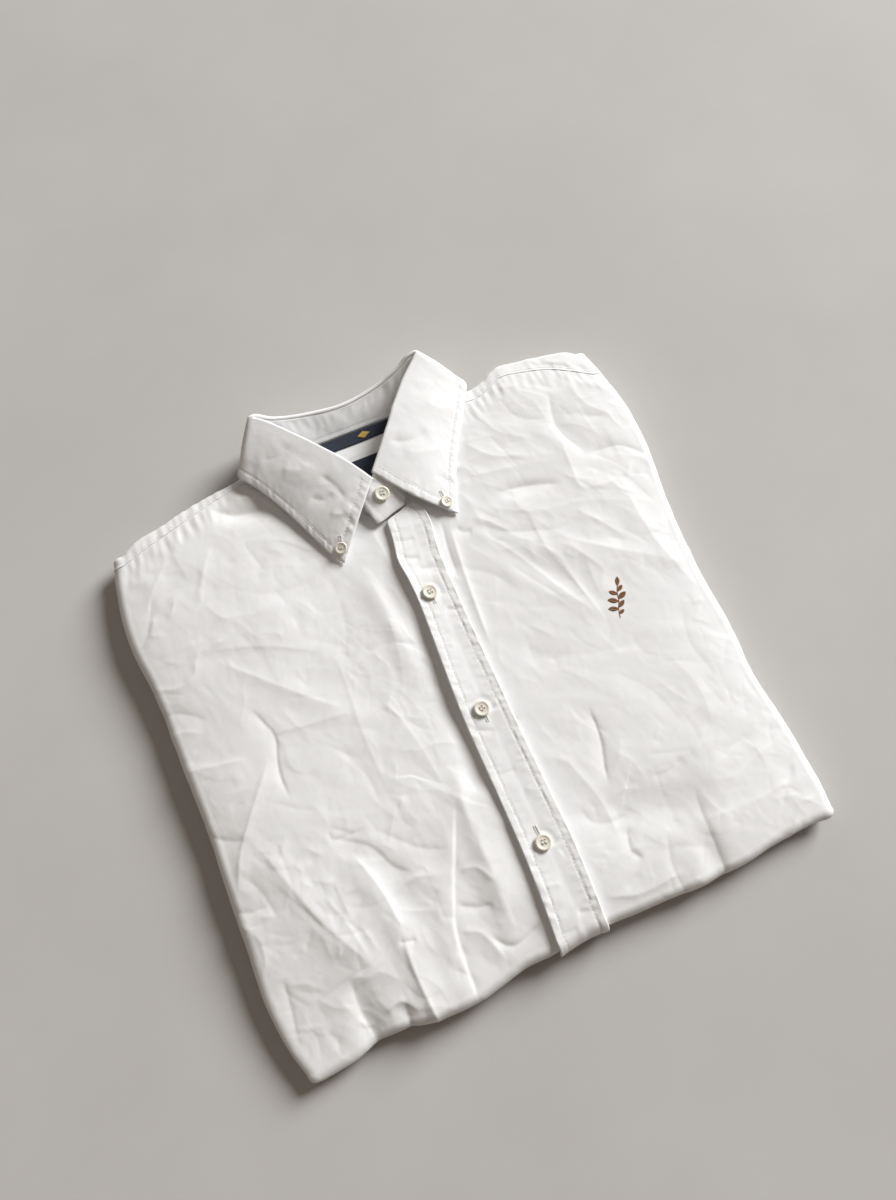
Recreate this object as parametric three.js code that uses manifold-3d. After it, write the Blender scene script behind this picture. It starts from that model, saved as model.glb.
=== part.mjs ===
// Folded long-sleeved shirt lying face up. Millimetres, +Z up, +Y towards the collar,
// +X towards the wearer's left. The underside rests at z = 0.
import * as THREE from 'three';
import { mergeVertices } from 'three/addons/utils/BufferGeometryUtils.js';
import Module from 'manifold-3d';

// ---- driving sizes ----
const CLOTH = 1.2;               // wall of one cloth piece
const SEAM = 0.3;                // gap between two pieces at a seam
const PILE_MIDDLE = 22.5;        // top of the pile in the middle
const PILE_RIM = 17.0;           // top of the pile where it starts to turn down
const SIDE_TURN = 8.0;           // plan width of the turn down the sides
const BOTTOM_TURN = 7.0;         // plan width of the turn down the bottom fold
const TOP_TURN = 5.2;            // plan width of the turn down the shoulders
const SIDE_FOOT = 6.2;           // how low the top layer reaches at the sides
const BOTTOM_FOOT = 3.2;         // and at the bottom fold
const TOP_FOOT = 6.0;            // and at the shoulders
const TURN_END = 155 * Math.PI / 180;
const TURN_STEPS = [0.27, 0.53, 0.77, 1];
const NECK_DROP = 3.6;           // inner back neck below the front edges
const CORE_GAP = 1.3;            // hidden layers below the top layer
const PLACKET_THICK = 1.7;
const PLACKET_END = 115;         // its rounded top end
const PLACKET_GAP = 0.6;
const RIGHT_FRONT_EDGE = 7.0;    // hidden edges of the fronts below the placket
const LEFT_FRONT_EDGE = 10.5;
const STAND_THICK = 1.2;
const LEAF_THICK = 1.3;
const LEAF_ROLL = 2.0;           // radius of the collar's fold
const SHIRT_BUTTON_RADIUS = 5.7;
const COLLAR_BUTTON_RADIUS = 4.6;

// ---- outline: [y, left x, right x] ----
const SIDES = [
  [-225, -191, 193], [-200, -199.5, 197], [-165, -204, 197], [-135, -203, 195.5],
  [-100, -203, 193], [-65, -202, 196], [-30, -202, 195], [0, -202.5, 196],
  [30, -203.5, 199], [60, -205, 203], [95, -209, 208], [125, -207.5, 209],
  [150, -203.5, 206], [170, -199, 202.5], [190, -194, 198],
];
// ---- outline: [x, bottom y, top y, seam y where the fronts end] ----
const ENDS = [
  [-200, -224, 163, 155], [-180, -223, 174, 161.5], [-160, -221, 178, 167],
  [-145, -217, 182, 171], [-125, -217.5, 186, 176.5], [-108, -220.5, 188.5, 180.5],
  [-90, -221.5, 191.5, 184], [-75, -221, 200, 187], [-64, -219.5, 204, 190],
  [-54, -217.5, 206, 172], [-38, -214.5, 207, 150], [-20, -214.5, 207, 127],
  [0, -212.5, 207, 110], [20, -212.5, 207, 127], [38, -213.5, 207, 150],
  [54, -214, 206, 172], [64, -214.5, 204, 189], [75, -215, 200, 185],
  [90, -215.5, 192.5, 180.5], [102, -215, 191.5, 179.5], [112, -215, 194, 183],
  [127, -214.5, 201, 189], [145, -212, 200, 186], [165, -210, 196.5, 180],
  [185, -210.5, 191.5, 169], [200, -214.5, 181, 160],
];
// ---- placket: [y, left x, right x, lift of the free edge] ----
const PLACKET = [
  [-214, -16, 19.5, 0.8], [-180, -13.5, 21.5, 2.2], [-148, -12, 22.5, 2.8],
  [-110, -11.5, 22, 2.2], [-70, -11.5, 21.5, 2.6], [-40, -11, 21.5, 3.2],
  [0, -8.5, 21.5, 2.4], [40, -6, 22, 2.8], [60, -6.5, 22.5, 3.4],
  [76, -7.5, 23.6, 2.6], [90, -5, 26, 1.6], [100, -3.6, 27, 1.2], [106, -3, 26.4, 1],
  [109.5, -1.5, 25.2, 0.8], [112, 7, 23.6, 0.6], [PLACKET_END, 17, 20.4, 0.5],
];
// ---- main folds, each [x, y, height, half width] along its line ----
const RIGHT_FRONT_FOLDS = {
  step_edge: [[-43, -94, 0, 7], [-59, -128, 1.2, 7], [-76, -165, 1.8, 8], [-84, -195, 2.0, 8],
    [-86, -222, 1.8, 8]],
  step_hollow: [[-33, -92, 0, 8], [-42, -128, -2.6, 10], [-53, -165, -3.6, 13],
    [-61, -195, -3.8, 15], [-63, -222, -3.0, 15]],
  front_edge_dip: [[-8, 60, 0, 8], [-14, 20, -1.0, 9], [-17, -40, -1.4, 9], [-20, -90, -1.4, 9]],
  long_ridge: [[-184, -72, 0, 9], [-167, -96, 2.2, 9], [-152, -134, 3.0, 9], [-134, -170, 2.2, 9],
    [-122, -190, 0, 8]],
  bright_ridge: [[-122, -98, 0, 7], [-114, -121, 2.2, 7], [-108, -152, 2.8, 7],
    [-104, -180, 2.2, 8], [-105, -216, 3.2, 10]],
  bright_hollow: [[-108, -104, 0, 8], [-97, -128, -2.2, 10], [-90, -158, -1.8, 10],
    [-88, -190, -1.2, 10]],
  corner_hollow: [[-146, -176, 0, 8], [-147, -198, -3.2, 9], [-145, -220, -3.8, 10]],
  dark_crease: [[-170, 54, 0, 8], [-146, 16, -1.6, 7], [-136, -10, -2.4, 6], [-141, -34, -2.2, 6],
    [-140, -52, 0, 7]],
  upper_line: [[-154, 58, 0, 8], [-118, 24, 1.4, 9], [-82, -12, 1.2, 9], [-66, -30, 0, 9]],
  star_arm: [[-84, -12, 0, 8], [-112, -8, 1.3, 8], [-136, -4, 0, 8]],
  side_ridge: [[-146, -20, 0, 8], [-172, -52, 1.8, 8], [-196, -94, 1.4, 9]],
  collar_dent: [[-124, 168, 0, 8], [-106, 162, -2.4, 7], [-84, 157, -2.6, 8], [-70, 150, 0, 8]],
  chest_swell: [[-96, 110, 0, 30], [-110, 60, 1.4, 34], [-100, 10, 0, 30]],
  radial: [[-40, 92, 0, 8], [-34, 60, 1.2, 8], [-28, 20, 1.2, 9], [-30, -20, 0, 9]],
  cross: [[-128, -88, 0, 8], [-104, -110, -1.4, 7], [-82, -132, 0, 7]],
};
const LEFT_FRONT_FOLDS = {
  shoulder_y: [[156, 160, 0, 7], [149, 134, -1.8, 7], [160, 103, -2.0, 7], [174, 100, -1.6, 7],
    [200, 82, 0, 7]],
  shoulder_ridge: [[112, 150, 0, 8], [136, 128, 1.4, 8], [150, 112, 1.6, 8], [146, 84, 0, 8]],
  collar_slot: [[58, 88, 0, 7], [84, 97, -2.4, 6], [106, 93, -2.6, 6], [130, 86, 0, 7]],
  slot_lip: [[60, 78, 0, 8], [90, 84, 1.6, 8], [128, 76, 0, 8]],
  spray_a: [[58, 78, 0, 8], [86, 52, 1.8, 8], [120, 30, 2.0, 9], [160, 6, 1.2, 10], [186, -8, 0, 9]],
  spray_b: [[56, 68, 0, 8], [80, 38, -1.8, 8], [108, 6, -2.2, 9], [118, -14, 0, 8]],
  spray_c: [[44, 62, 0, 8], [66, 36, 1.5, 8], [92, 4, 1.4, 8], [110, -22, 0, 8]],
  side_line: [[150, 76, 0, 8], [168, 44, 1.5, 9], [178, 4, 1.2, 9], [186, -34, 0, 9]],
  low_crease: [[70, -72, 0, 8], [67, -102, -2.2, 7], [61, -132, 0, 8]],
  low_hollow: [[44, -120, 0, 14], [60, -150, -2.4, 18], [92, -160, -2.6, 18], [128, -158, 0, 14]],
  low_ridge: [[74, -182, 0, 10], [110, -186, 1.4, 12], [160, -182, 0, 12]],
  hem_press: [[96, -168, 0, 8], [104, -190, -1.4, 8], [104, -216, -1.2, 8]],
};
// ---- collar, one row a station round the neck, from one front end to the other:
// [base x, base y, base lift, fold x, fold y, fold z, edge x, edge y, edge z] ----
const COLLAR = [
  [-14, 117, 0, -1.4, 139.6, 37.1, -43.8, 91.3, 25],
  [-21, 127, 0, -11.8, 157.3, 39.1, -50.3, 100.7, 24.8],
  [-30, 139.5, 0, -24.5, 174.6, 40.4, -56.9, 117.2, 24.6],
  [-39, 152, 0, -37.7, 191.4, 40.7, -64.9, 137.8, 24.6],
  [-48, 165, 0, -50.7, 207.3, 40.7, -74, 158.6, 24.8],
  [-55.5, 177, 0, -60.3, 217.5, 40.4, -83, 175.2, 24.8],
  [-60.5, 187, 0, -65.8, 221.6, 39.7, -91.5, 188.4, 24],
  [-59, 192.5, 0, -65.7, 223.7, 39.1, -85, 202.6, 12],
  [-54, 194.5, 0, -60.8, 224.1, 37.1, -72, 219.5, 11],
  [-44, 194.2, 0, -49.5, 219.1, 33.4, -54, 223.5, 9],
  [-24, 193.2, 0, -26.2, 214.6, 29.8, -30, 222, 8],
  [0, 193, 0, 1.6, 211.6, 28.7, 0, 221, 7.5],
  [24, 193.2, 0, 29.2, 215, 29.8, 30, 223, 8],
  [44, 194.2, 0, 50.8, 219.9, 35.4, 54, 225.5, 9],
  [54, 194.5, 0, 62, 224.2, 40, 73, 221.8, 11],
  [59, 192.5, 0, 68.4, 224.8, 41.3, 90.2, 207.1, 14],
  [60.5, 187, 0, 70, 223.2, 41.4, 98.9, 193.9, 24],
  [55.5, 177, 0, 64.1, 216.9, 41.1, 91.6, 178.9, 25],
  [48, 165, 0, 52.5, 205.8, 41.1, 81.2, 161.5, 25.1],
  [39, 152, 0, 39.3, 190.6, 41.1, 70.1, 143.3, 25.1],
  [30, 139.5, 0, 27.1, 175.3, 40.4, 59.5, 123.2, 25.1],
  [21, 128, 0.4, 13.9, 159.2, 38.7, 52.5, 105.6, 25.1],
  [14, 116, 2.4, 1.7, 144.6, 37.1, 48.4, 94, 25.1],
];
// the band's free end beyond the last station: [base x, base y, base lift, fold x, fold y, fold z]
const BAND_END = [
  [4, 113.4, 2.6, -5.6, 135.6, 33.1],
  [-5, 110.2, 3, -12.2, 129.4, 30.5],
  [-10, 109.6, 3.2, -14.2, 122.8, 28.7],
];
const STAND_START = 1;           // the under end stops here, below the leaf
// ---- buttons: [x, y] ----
const PLACKET_BUTTONS = { placket_button_1: [4, 44.5], placket_button_2: [3, -48.5],
  placket_button_3: [3, -147.5] };
const BAND_BUTTON = [1.5, 128];
const COLLAR_POINT_BUTTONS = { collar_button_right: [-42, 101.5], collar_button_left: [43.5, 104.5] };
// ---- trim inside the back neck: tape [x, lower y, upper y]; label box ----
const TAPE = [[-46, 183.5, 192.4], [-30, 182, 192.2], [-12, 181.6, 192], [4, 181.4, 192],
  [20, 181.6, 192], [34, 182.2, 192.2], [46, 183.5, 192.4]];
const LABEL = { centre_x: 2.5, low_y: 142, high_y: 167.5, width: 48 };
const TRIM_THICK = 1.0;
const TRIM_GAP = 0.35;
// ---- hidden layers seen at the rim: [share of the height below the turn, reach from its root] ----
const RIM_LAYERS = [[1, 2.4], [0.9, 5.6], [0.66, 6.4], [0.52, 4.4], [0.4, 5.6], [0.2, 7.0],
  [0, 5.0]];
const WAIST = { reach: 0.5, above_foot: 0.9, below_foot: 0.9 };   // root of the turn

// ---- helpers ----
const lerp = (a, b, t) => a + (b - a) * t;
const clamp = (v, a, b) => Math.min(b, Math.max(a, v));
const smooth = (v, a, b) => {
  const t = clamp((v - a) / (b - a), 0, 1);
  return t * t * (3 - 2 * t);
};
// column c of a table at key k of its first column, as a smooth curve
function at(rows, k, c) {
  const last = rows.length - 1;
  const key = clamp(k, rows[0][0], rows[last][0]);
  let i = 0;
  while (i < last - 1 && key > rows[i + 1][0]) i++;
  const slope = (j) => {
    const a = rows[Math.max(0, j - 1)];
    const b = rows[Math.min(last, j + 1)];
    return (b[c] - a[c]) / (b[0] - a[0]);
  };
  const [p, q] = [rows[i], rows[i + 1]];
  const w = q[0] - p[0];
  const t = (key - p[0]) / w;
  const t2 = t * t;
  const t3 = t2 * t;
  return (2 * t3 - 3 * t2 + 1) * p[c] + (t3 - 2 * t2 + t) * w * slope(i)
    + (-2 * t3 + 3 * t2) * q[c] + (t3 - t2) * w * slope(i + 1);
}
// a row of a table of stations at a fractional index
function stationAt(rows, s) {
  const keyed = (j) => rows[clamp(j, 0, rows.length - 1)];
  const i = clamp(Math.floor(s), 0, rows.length - 2);
  const t = s - i;
  return rows[0].map((_, c) => {
    const [a, b, d, e] = [keyed(i - 1)[c], keyed(i)[c], keyed(i + 1)[c], keyed(i + 2)[c]];
    return b + 0.5 * t * (d - a + t * (2 * a - 5 * b + 4 * d - e + t * (3 * (b - d) + e - a)));
  });
}
const seamAt = (x) => at(ENDS, x, 3);
// half the gap at that seam: wider where it bends under the collar and at the shoulder's dip
const seamGap = (x) => SEAM / 2 + 1.3 * Math.exp(-(((Math.abs(x) - 69) / 13) ** 2))
  + 0.25 * Math.exp(-(((x - 102) / 10) ** 2)) + 0.15;
// height a set of folds adds at (x, y)
function foldsAt(folds, x, y, keep, spread = 0) {
  let sum = 0;
  for (const line of Object.values(folds)) {
    let best = Infinity;
    let add = 0;
    for (let i = 0; i + 1 < line.length; i++) {
      const [p, q] = [line[i], line[i + 1]];
      const [dx, dy] = [q[0] - p[0], q[1] - p[1]];
      const t = clamp(((x - p[0]) * dx + (y - p[1]) * dy) / (dx * dx + dy * dy), 0, 1);
      const d = Math.hypot(x - p[0] - dx * t, y - p[1] - dy * t);
      if (d < best) {
        best = d;
        add = lerp(p[2], q[2], t) * Math.exp(-((d / (lerp(p[3], q[3], t) + spread)) ** 2));
      }
    }
    sum += keep(add);
  }
  return sum;
}
const both = (v) => v;
const troughs = (v) => Math.min(v, 0);
const ridges = (v) => Math.max(v, 0);
function pileTop(x, y) {
  const side = Math.min(x - at(SIDES, y, 1), at(SIDES, y, 2) - x);
  const low = y - at(ENDS, x, 1);
  const high = Math.max(at(ENDS, x, 2) - y, 0);
  const rise = (d, w) => 1 - Math.exp(-Math.max(d, 0) / w);
  const f = rise(side, 26) * rise(low, 30) * rise(high, 16);
  const corner = 4.5 * Math.exp(-(((x + 185) / 50) ** 2) - ((y + 205) / 70) ** 2);
  const corner2 = 2 * Math.exp(-(((x - 190) / 50) ** 2) - ((y + 205) / 50) ** 2);
  return lerp(PILE_RIM, PILE_MIDDLE, f) - corner - corner2;
}
function frontTop(x, y) {
  const right = foldsAt(RIGHT_FRONT_FOLDS, x, y, both);
  const left = foldsAt(LEFT_FRONT_FOLDS, x, y, both);
  // nothing stands up into the placket
  const free = smooth(Math.abs(x - 5), 20, 34);
  const w = smooth(x, RIGHT_FRONT_EDGE, LEFT_FRONT_EDGE);
  const add = lerp(right, left, w);
  return pileTop(x, y) + Math.min(add, 0) + Math.max(add, 0) * free;
}
const neckDrop = (x) => NECK_DROP * (1 - smooth(Math.abs(x), 54, 68));
const yokeTop = (x, y) => pileTop(x, y) - neckDrop(x);
function coreTop(x, y) {
  const right = foldsAt(RIGHT_FRONT_FOLDS, x, y, troughs, 4);
  const left = foldsAt(LEFT_FRONT_FOLDS, x, y, troughs, 4);
  const seam = seamAt(x);
  const inNeck = smooth(y, seam - 26, seam - 8) * (1 - smooth(Math.abs(x), 62, 78));
  const folds = (x < 9 ? right : left) * (1 - inNeck);
  return pileTop(x, y) + folds * 1.12 - neckDrop(x) * inNeck - CLOTH - CORE_GAP;
}

// ---- the pile's plan: inset lines, where the turn down starts ----
const sideInset = (sign, y) => (sign < 0 ? at(SIDES, y, 1) + SIDE_TURN : at(SIDES, y, 2) - SIDE_TURN);
const lowInset = (x) => at(ENDS, x, 1) + BOTTOM_TURN;
const highInset = (x) => at(ENDS, x, 2) - TOP_TURN;
// plan point: u runs from x0(y) to x1(y), v from y0(x) to y1(x)
function plan(u, v, x0, x1, y0, y1) {
  let x = lerp(x0(0), x1(0), u);
  let y = 0;
  for (let n = 0; n < 12; n++) {
    y = lerp(y0(x), y1(x), v);
    x = lerp(x0(y), x1(y), u);
  }
  return [x, y];
}
// point on the turned rim: p round the side, q round the end, 0 to 1
function turned(x, y, top, p, q, sideSign, endSign, out, shrink) {
  const m = Math.max(p, q);
  if (m === 0) return [x, y, top + out];
  const phi = m * TURN_END;
  const psi = (p >= q ? (q / m) * 0.25 : 0.5 - (p / m) * 0.25) * Math.PI;
  const w = psi / (Math.PI / 2);
  const endTurn = endSign < 0 ? BOTTOM_TURN : TOP_TURN;
  const foot = lerp(SIDE_FOOT, endSign < 0 ? BOTTOM_FOOT : TOP_FOOT, w);
  const half = (top - foot) / 2;
  const reach = Math.sin(phi);
  const corner = 1 + 0.12 * Math.sin(2 * psi) ** 2;
  return [
    x + sideSign * (SIDE_TURN - shrink + out) * reach * Math.cos(psi) * corner,
    y + endSign * (endTurn - shrink + out) * reach * Math.sin(psi) * corner,
    foot + half + (half - shrink + out) * Math.cos(phi),
  ];
}

// ---- meshes ----
function meshFrom(name, points, faces, material) {
  const flat = new Float32Array(points.length * 3);
  points.forEach((p, i) => flat.set(p, 3 * i));
  let volume = 0;
  for (const [a, b, c] of faces) {
    const [p, q, r] = [points[a], points[b], points[c]];
    volume += p[0] * (q[1] * r[2] - q[2] * r[1]) - p[1] * (q[0] * r[2] - q[2] * r[0])
      + p[2] * (q[0] * r[1] - q[1] * r[0]);
  }
  const index = [];
  for (const [a, b, c] of faces) index.push(...(volume > 0 ? [a, b, c] : [a, c, b]));
  let geometry = new THREE.BufferGeometry();
  geometry.setAttribute('position', new THREE.BufferAttribute(flat, 3));
  geometry.setIndex(index);
  geometry = mergeVertices(geometry, 1e-3);
  geometry.computeVertexNormals();
  const mesh = new THREE.Mesh(geometry, material);
  mesh.name = name;
  return mesh;
}
function gridNormals(grid) {
  const [ni, nj] = [grid.length, grid[0].length];
  const v = new THREE.Vector3();
  const w = new THREE.Vector3();
  return grid.map((row, i) => row.map((_, j) => {
    const a = grid[Math.max(i - 1, 0)][j];
    const b = grid[Math.min(i + 1, ni - 1)][j];
    const c = grid[i][Math.max(j - 1, 0)];
    const d = grid[i][Math.min(j + 1, nj - 1)];
    v.set(b[0] - a[0], b[1] - a[1], b[2] - a[2]);
    w.set(d[0] - c[0], d[1] - c[1], d[2] - c[2]);
    const n = v.clone().cross(w).normalize();
    return [n.x, n.y, n.z];
  }));
}
// a cloth wall: the grid pushed out one way and in the other, closed round its border
function wall(name, grid, normals, up, down, material) {
  const [ni, nj] = [grid.length, grid[0].length];
  const points = [];
  for (const shift of [up, -down]) {
    grid.forEach((row, i) => row.forEach((p, j) => {
      points.push(p.map((c, k) => c + normals[i][j][k] * shift));
    }));
  }
  const id = (side, i, j) => side * ni * nj + i * nj + j;
  const faces = [];
  const quad = (a, b, c, d) => faces.push([a, b, c], [a, c, d]);
  for (let i = 0; i + 1 < ni; i++) {
    for (let j = 0; j + 1 < nj; j++) {
      quad(id(0, i, j), id(0, i + 1, j), id(0, i + 1, j + 1), id(0, i, j + 1));
      quad(id(1, i, j), id(1, i, j + 1), id(1, i + 1, j + 1), id(1, i + 1, j));
    }
  }
  for (let i = 0; i + 1 < ni; i++) {
    quad(id(0, i, 0), id(1, i, 0), id(1, i + 1, 0), id(0, i + 1, 0));
    quad(id(0, i, nj - 1), id(0, i + 1, nj - 1), id(1, i + 1, nj - 1), id(1, i, nj - 1));
  }
  for (let j = 0; j + 1 < nj; j++) {
    quad(id(0, 0, j), id(0, 0, j + 1), id(1, 0, j + 1), id(1, 0, j));
    quad(id(0, ni - 1, j), id(1, ni - 1, j), id(1, ni - 1, j + 1), id(0, ni - 1, j + 1));
  }
  return meshFrom(name, points, faces, material);
}
const steps = (n) => Array.from({ length: n + 1 }, (_, i) => i / n);
const UP = (grid) => {
  const n = gridNormals(grid);
  const sign = n.flat().reduce((sum, v) => sum + v[2], 0) < 0 ? -1 : 1;
  return n.map((row) => row.map((v) => v.map((c) => c * sign)));
};

const cotton = new THREE.MeshStandardMaterial({ name: 'cotton', color: '#e9e6df', roughness: 0.9 });
const navy = new THREE.MeshStandardMaterial({ name: 'navy_trim', color: '#1c2436', roughness: 0.85 });
const shell = new THREE.MeshStandardMaterial({ name: 'button_shell', color: '#e4dccb', roughness: 0.35 });
const group = new THREE.Group();

// ---- the two fronts ----
function front(name, sign, innerX, columns, rows) {
  const across = [...steps(columns).map((s) => [s, 0]), ...TURN_STEPS.map((p) => [1, p])];
  const along = [...TURN_STEPS.map((q) => [0, q]).reverse(), ...steps(rows).map((t) => [t, 0])];
  const grid = across.map(([s, p]) => along.map(([t, q]) => {
    const [x, y] = plan(s ** 0.94, t, () => innerX, (v) => sideInset(sign, v), lowInset,
      (v) => seamAt(v) - seamGap(v));
    return turned(x, y, frontTop(x, y), p, q, sign, -1, 0, 0);
  }));
  group.add(wall(name, grid, UP(grid), 0, CLOTH, cotton));
}
front('front_right_panel', -1, RIGHT_FRONT_EDGE, 18, 29);
front('front_left_panel', 1, LEFT_FRONT_EDGE, 17, 29);

// ---- yoke, with the tongue of its inner ply in the neck ----
function yoke() {
  const columns = steps(38).map((s) => [s, 0]);
  const across = [...TURN_STEPS.map((p) => [0, p]).reverse(), ...columns,
    ...TURN_STEPS.map((p) => [1, p])];
  const along = [...steps(4).map((t) => [t, 0]), ...TURN_STEPS.map((q) => [1, q])];
  const grid = across.map(([s, p], i) => along.map(([t, q]) => {
    const [x, y] = plan(s, t, (v) => sideInset(-1, v), (v) => sideInset(1, v),
      (v) => seamAt(v) + seamGap(v), highInset);
    const sign = i < across.length / 2 ? -1 : 1;
    return turned(x, y, yokeTop(x, y), p, q, sign, 1, 0, 0);
  }));
  group.add(wall('yoke', grid, UP(grid), 0, CLOTH, cotton));
}
yoke();

// ---- hidden layers: back, sleeves and tail folded under ----
function hiddenLayers() {
  const [columns, rows] = [34, 22];
  const shrink = CLOTH + 1.2;
  const x0 = (v) => sideInset(-1, v);
  const x1 = (v) => sideInset(1, v);
  const top = steps(columns).map((s) => steps(rows).map((t) => {
    const [x, y] = plan(s, t, x0, x1, lowInset, highInset);
    return [x, y, coreTop(x, y)];
  }));
  const ring = [];
  for (let i = 0; i < columns; i++) ring.push([i, 0]);
  for (let j = 0; j < rows; j++) ring.push([columns, j]);
  for (let i = columns; i > 0; i--) ring.push([i, rows]);
  for (let j = rows; j > 0; j--) ring.push([0, j]);
  const points = top.flat();
  const faces = [];
  const id = (i, j) => i * (rows + 1) + j;
  for (let i = 0; i < columns; i++) {
    for (let j = 0; j < rows; j++) {
      faces.push([id(i, j), id(i + 1, j), id(i + 1, j + 1)], [id(i, j), id(i + 1, j + 1), id(i, j + 1)]);
    }
  }
  // how far the folded layers reach beyond the turn's root, by place round the rim
  const reachOf = (k, layer) => 1 + 0.22 * Math.sin(k * 0.37 + layer) + 0.14 * Math.sin(k * 0.91 + 2 * layer);
  const levels = [];
  for (const m of [0.3, 0.57, 0.8, 0.97]) levels.push((k, h, foot, turn) => {
    const half = (h + CLOTH + CORE_GAP - foot) / 2;
    const phi = m * TURN_END;
    return [(turn - shrink) * Math.sin(phi), foot + half + (half - shrink) * Math.cos(phi)];
  });
  levels.push((k, h, foot, turn) => [WAIST.reach * (turn / SIDE_TURN), foot + WAIST.above_foot]);
  RIM_LAYERS.forEach(([share, reach], n) => levels.push((k, h, foot, turn) => {
    const loose = n > 0 && n < RIM_LAYERS.length - 1 ? reachOf(k, n < 3 ? 0 : 2) : 1;
    return [reach * (turn / SIDE_TURN) * loose, (foot - WAIST.below_foot) * share];
  }));
  const rings = [ring.map(([i, j]) => id(i, j))];
  for (const level of levels) {
    const ids = ring.map(([i, j], k) => {
      const [x, y, h] = top[i][j];
      const side = i === 0 ? -1 : i === columns ? 1 : 0;
      const end = j === 0 ? -1 : j === rows ? 1 : 0;
      const scale = side && end ? 0.54 : 1;
      const [foot, turn] = side && end ? [lerp(SIDE_FOOT, end < 0 ? BOTTOM_FOOT : TOP_FOOT, 0.5),
        lerp(SIDE_TURN, end < 0 ? BOTTOM_TURN : TOP_TURN, 0.5)]
        : side ? [SIDE_FOOT, SIDE_TURN] : end < 0 ? [BOTTOM_FOOT, BOTTOM_TURN] : [TOP_FOOT, TOP_TURN];
      const [reach, z] = level(k, h, foot, turn);
      points.push([x + side * reach * scale, y + end * reach * scale, z]);
      return points.length - 1;
    });
    rings.push(ids);
  }
  for (let r = 0; r + 1 < rings.length; r++) {
    const n = ring.length;
    for (let k = 0; k < n; k++) {
      const [a, b] = [rings[r][k], rings[r][(k + 1) % n]];
      const [c, d] = [rings[r + 1][(k + 1) % n], rings[r + 1][k]];
      faces.push([a, d, c], [a, c, b]);
    }
  }
  const base = rings[rings.length - 1];
  const flat = base.map((i) => new THREE.Vector2(points[i][0], points[i][1]));
  for (const [a, b, c] of THREE.ShapeUtils.triangulateShape(flat, [])) {
    faces.push([base[a], base[c], base[b]]);
  }
  group.add(meshFrom('folded_layers', points, faces, cotton));
}
hiddenLayers();

// ---- placket ----
const placketTop = (x, y) => {
  const left = at(PLACKET, y, 1);
  const right = at(PLACKET, y, 2);
  const free = clamp((right - x) / (right - left), 0, 1);
  const lift = at(PLACKET, y, 3) * free ** 2.2;
  const under = pileTop(x, y) + PLACKET_GAP + 0.35 * Math.sin(Math.PI * free) ** 2;
  return under + lift + PLACKET_THICK;
};
function placket() {
  const across = steps(5);
  const along = [...TURN_STEPS.map((q) => [0, q * 0.74]).reverse(), ...steps(33).map((t) => [t, 0])];
  const grid = across.map((s) => along.map(([t, q]) => {
    const [x, y] = plan(s, t, (v) => at(PLACKET, v, 1), (v) => at(PLACKET, v, 2), lowInset,
      () => PLACKET_END);
    const top = placketTop(x, y);
    const out = top - pileTop(x, y);
    return turned(x, y, pileTop(x, y), 0, q, 1, -1, out, 0);
  }));
  group.add(wall('placket', grid, UP(grid), 0, PLACKET_THICK, cotton));
}
placket();

// ---- collar ----
const baseZ = (x, y) => Math.max(yokeTop(x, y), y < seamAt(x) + 3 && Math.abs(x) < 66 ? pileTop(x, y) : 0);
const collarRow = (s) => {
  const r = stationAt(COLLAR, s);
  const fold = new THREE.Vector3(r[3], r[4], r[5]);
  const edge = new THREE.Vector3(r[6], r[7], r[8]);
  // h points out of the neck, square to the fold
  const last = COLLAR.length - 1;
  const before = stationAt(COLLAR, Math.max(s - 0.25, 0));
  const after = stationAt(COLLAR, Math.min(s + 0.25, last));
  const h = new THREE.Vector3(before[4] - after[4], after[3] - before[3], 0).normalize();
  const centre = fold.clone().add(new THREE.Vector3(0, 0, -LEAF_ROLL));
  const run = (edge.x - fold.x) * h.x + (edge.y - fold.y) * h.y;
  const slope = Math.min(Math.atan2(fold.z - edge.z, run), 1.35);
  return { fold, edge, h, centre, slope, base: [r[0], r[1], r[2]] };
};
function standMid(s) {
  const last = COLLAR.length - 1;
  if (s <= last) {
    const { centre, h, base } = collarRow(s);
    const z = baseZ(base[0], base[1]) + base[2] + 1.25;
    // drawn flush with the inside of the collar's roll round the neck
    const w = smooth(s, 2.5, 5) * (1 - smooth(s, 17, 19.5));
    const top = centre.clone().addScaledVector(h, -0.35 - 1.15 * w);
    top.z -= 0.7 - 0.2 * w;
    return [new THREE.Vector3(base[0], base[1], z), top];
  }
  const end = stationAt([[...COLLAR[last].slice(0, 6)], ...BAND_END], s - last);
  const own = collarRow(last);
  const top = new THREE.Vector3(end[3], end[4], end[5]);
  const blend = clamp(s - last, 0, 1);
  const first = own.centre.clone().addScaledVector(own.h, -0.35);
  first.z -= 0.7;
  top.lerp(top.clone().add(first.sub(new THREE.Vector3(...COLLAR[last].slice(3, 6)))), 1 - blend);
  return [new THREE.Vector3(end[0], end[1], pileTop(end[0], end[1]) + end[2] + 0.95), top];
}
function stand() {
  const end = COLLAR.length - 1 + BAND_END.length;
  const around = steps(42).map((t) => lerp(STAND_START, end, t));
  const grid = around.map((s) => {
    const [low, high] = standMid(s);
    return steps(3).map((w) => {
      const p = low.clone().lerp(high, w);
      p.z += Math.sin(Math.PI * w) * (s < 6 || s > 16 ? 1 : 0.4);
      return [p.x, p.y, p.z];
    });
  });
  const normals = gridNormals(grid);
  group.add(wall('collar_stand', grid, normals, STAND_THICK / 2, STAND_THICK / 2, cotton));
}
stand();
const ROLL = [-40, -12, 16];
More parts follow.
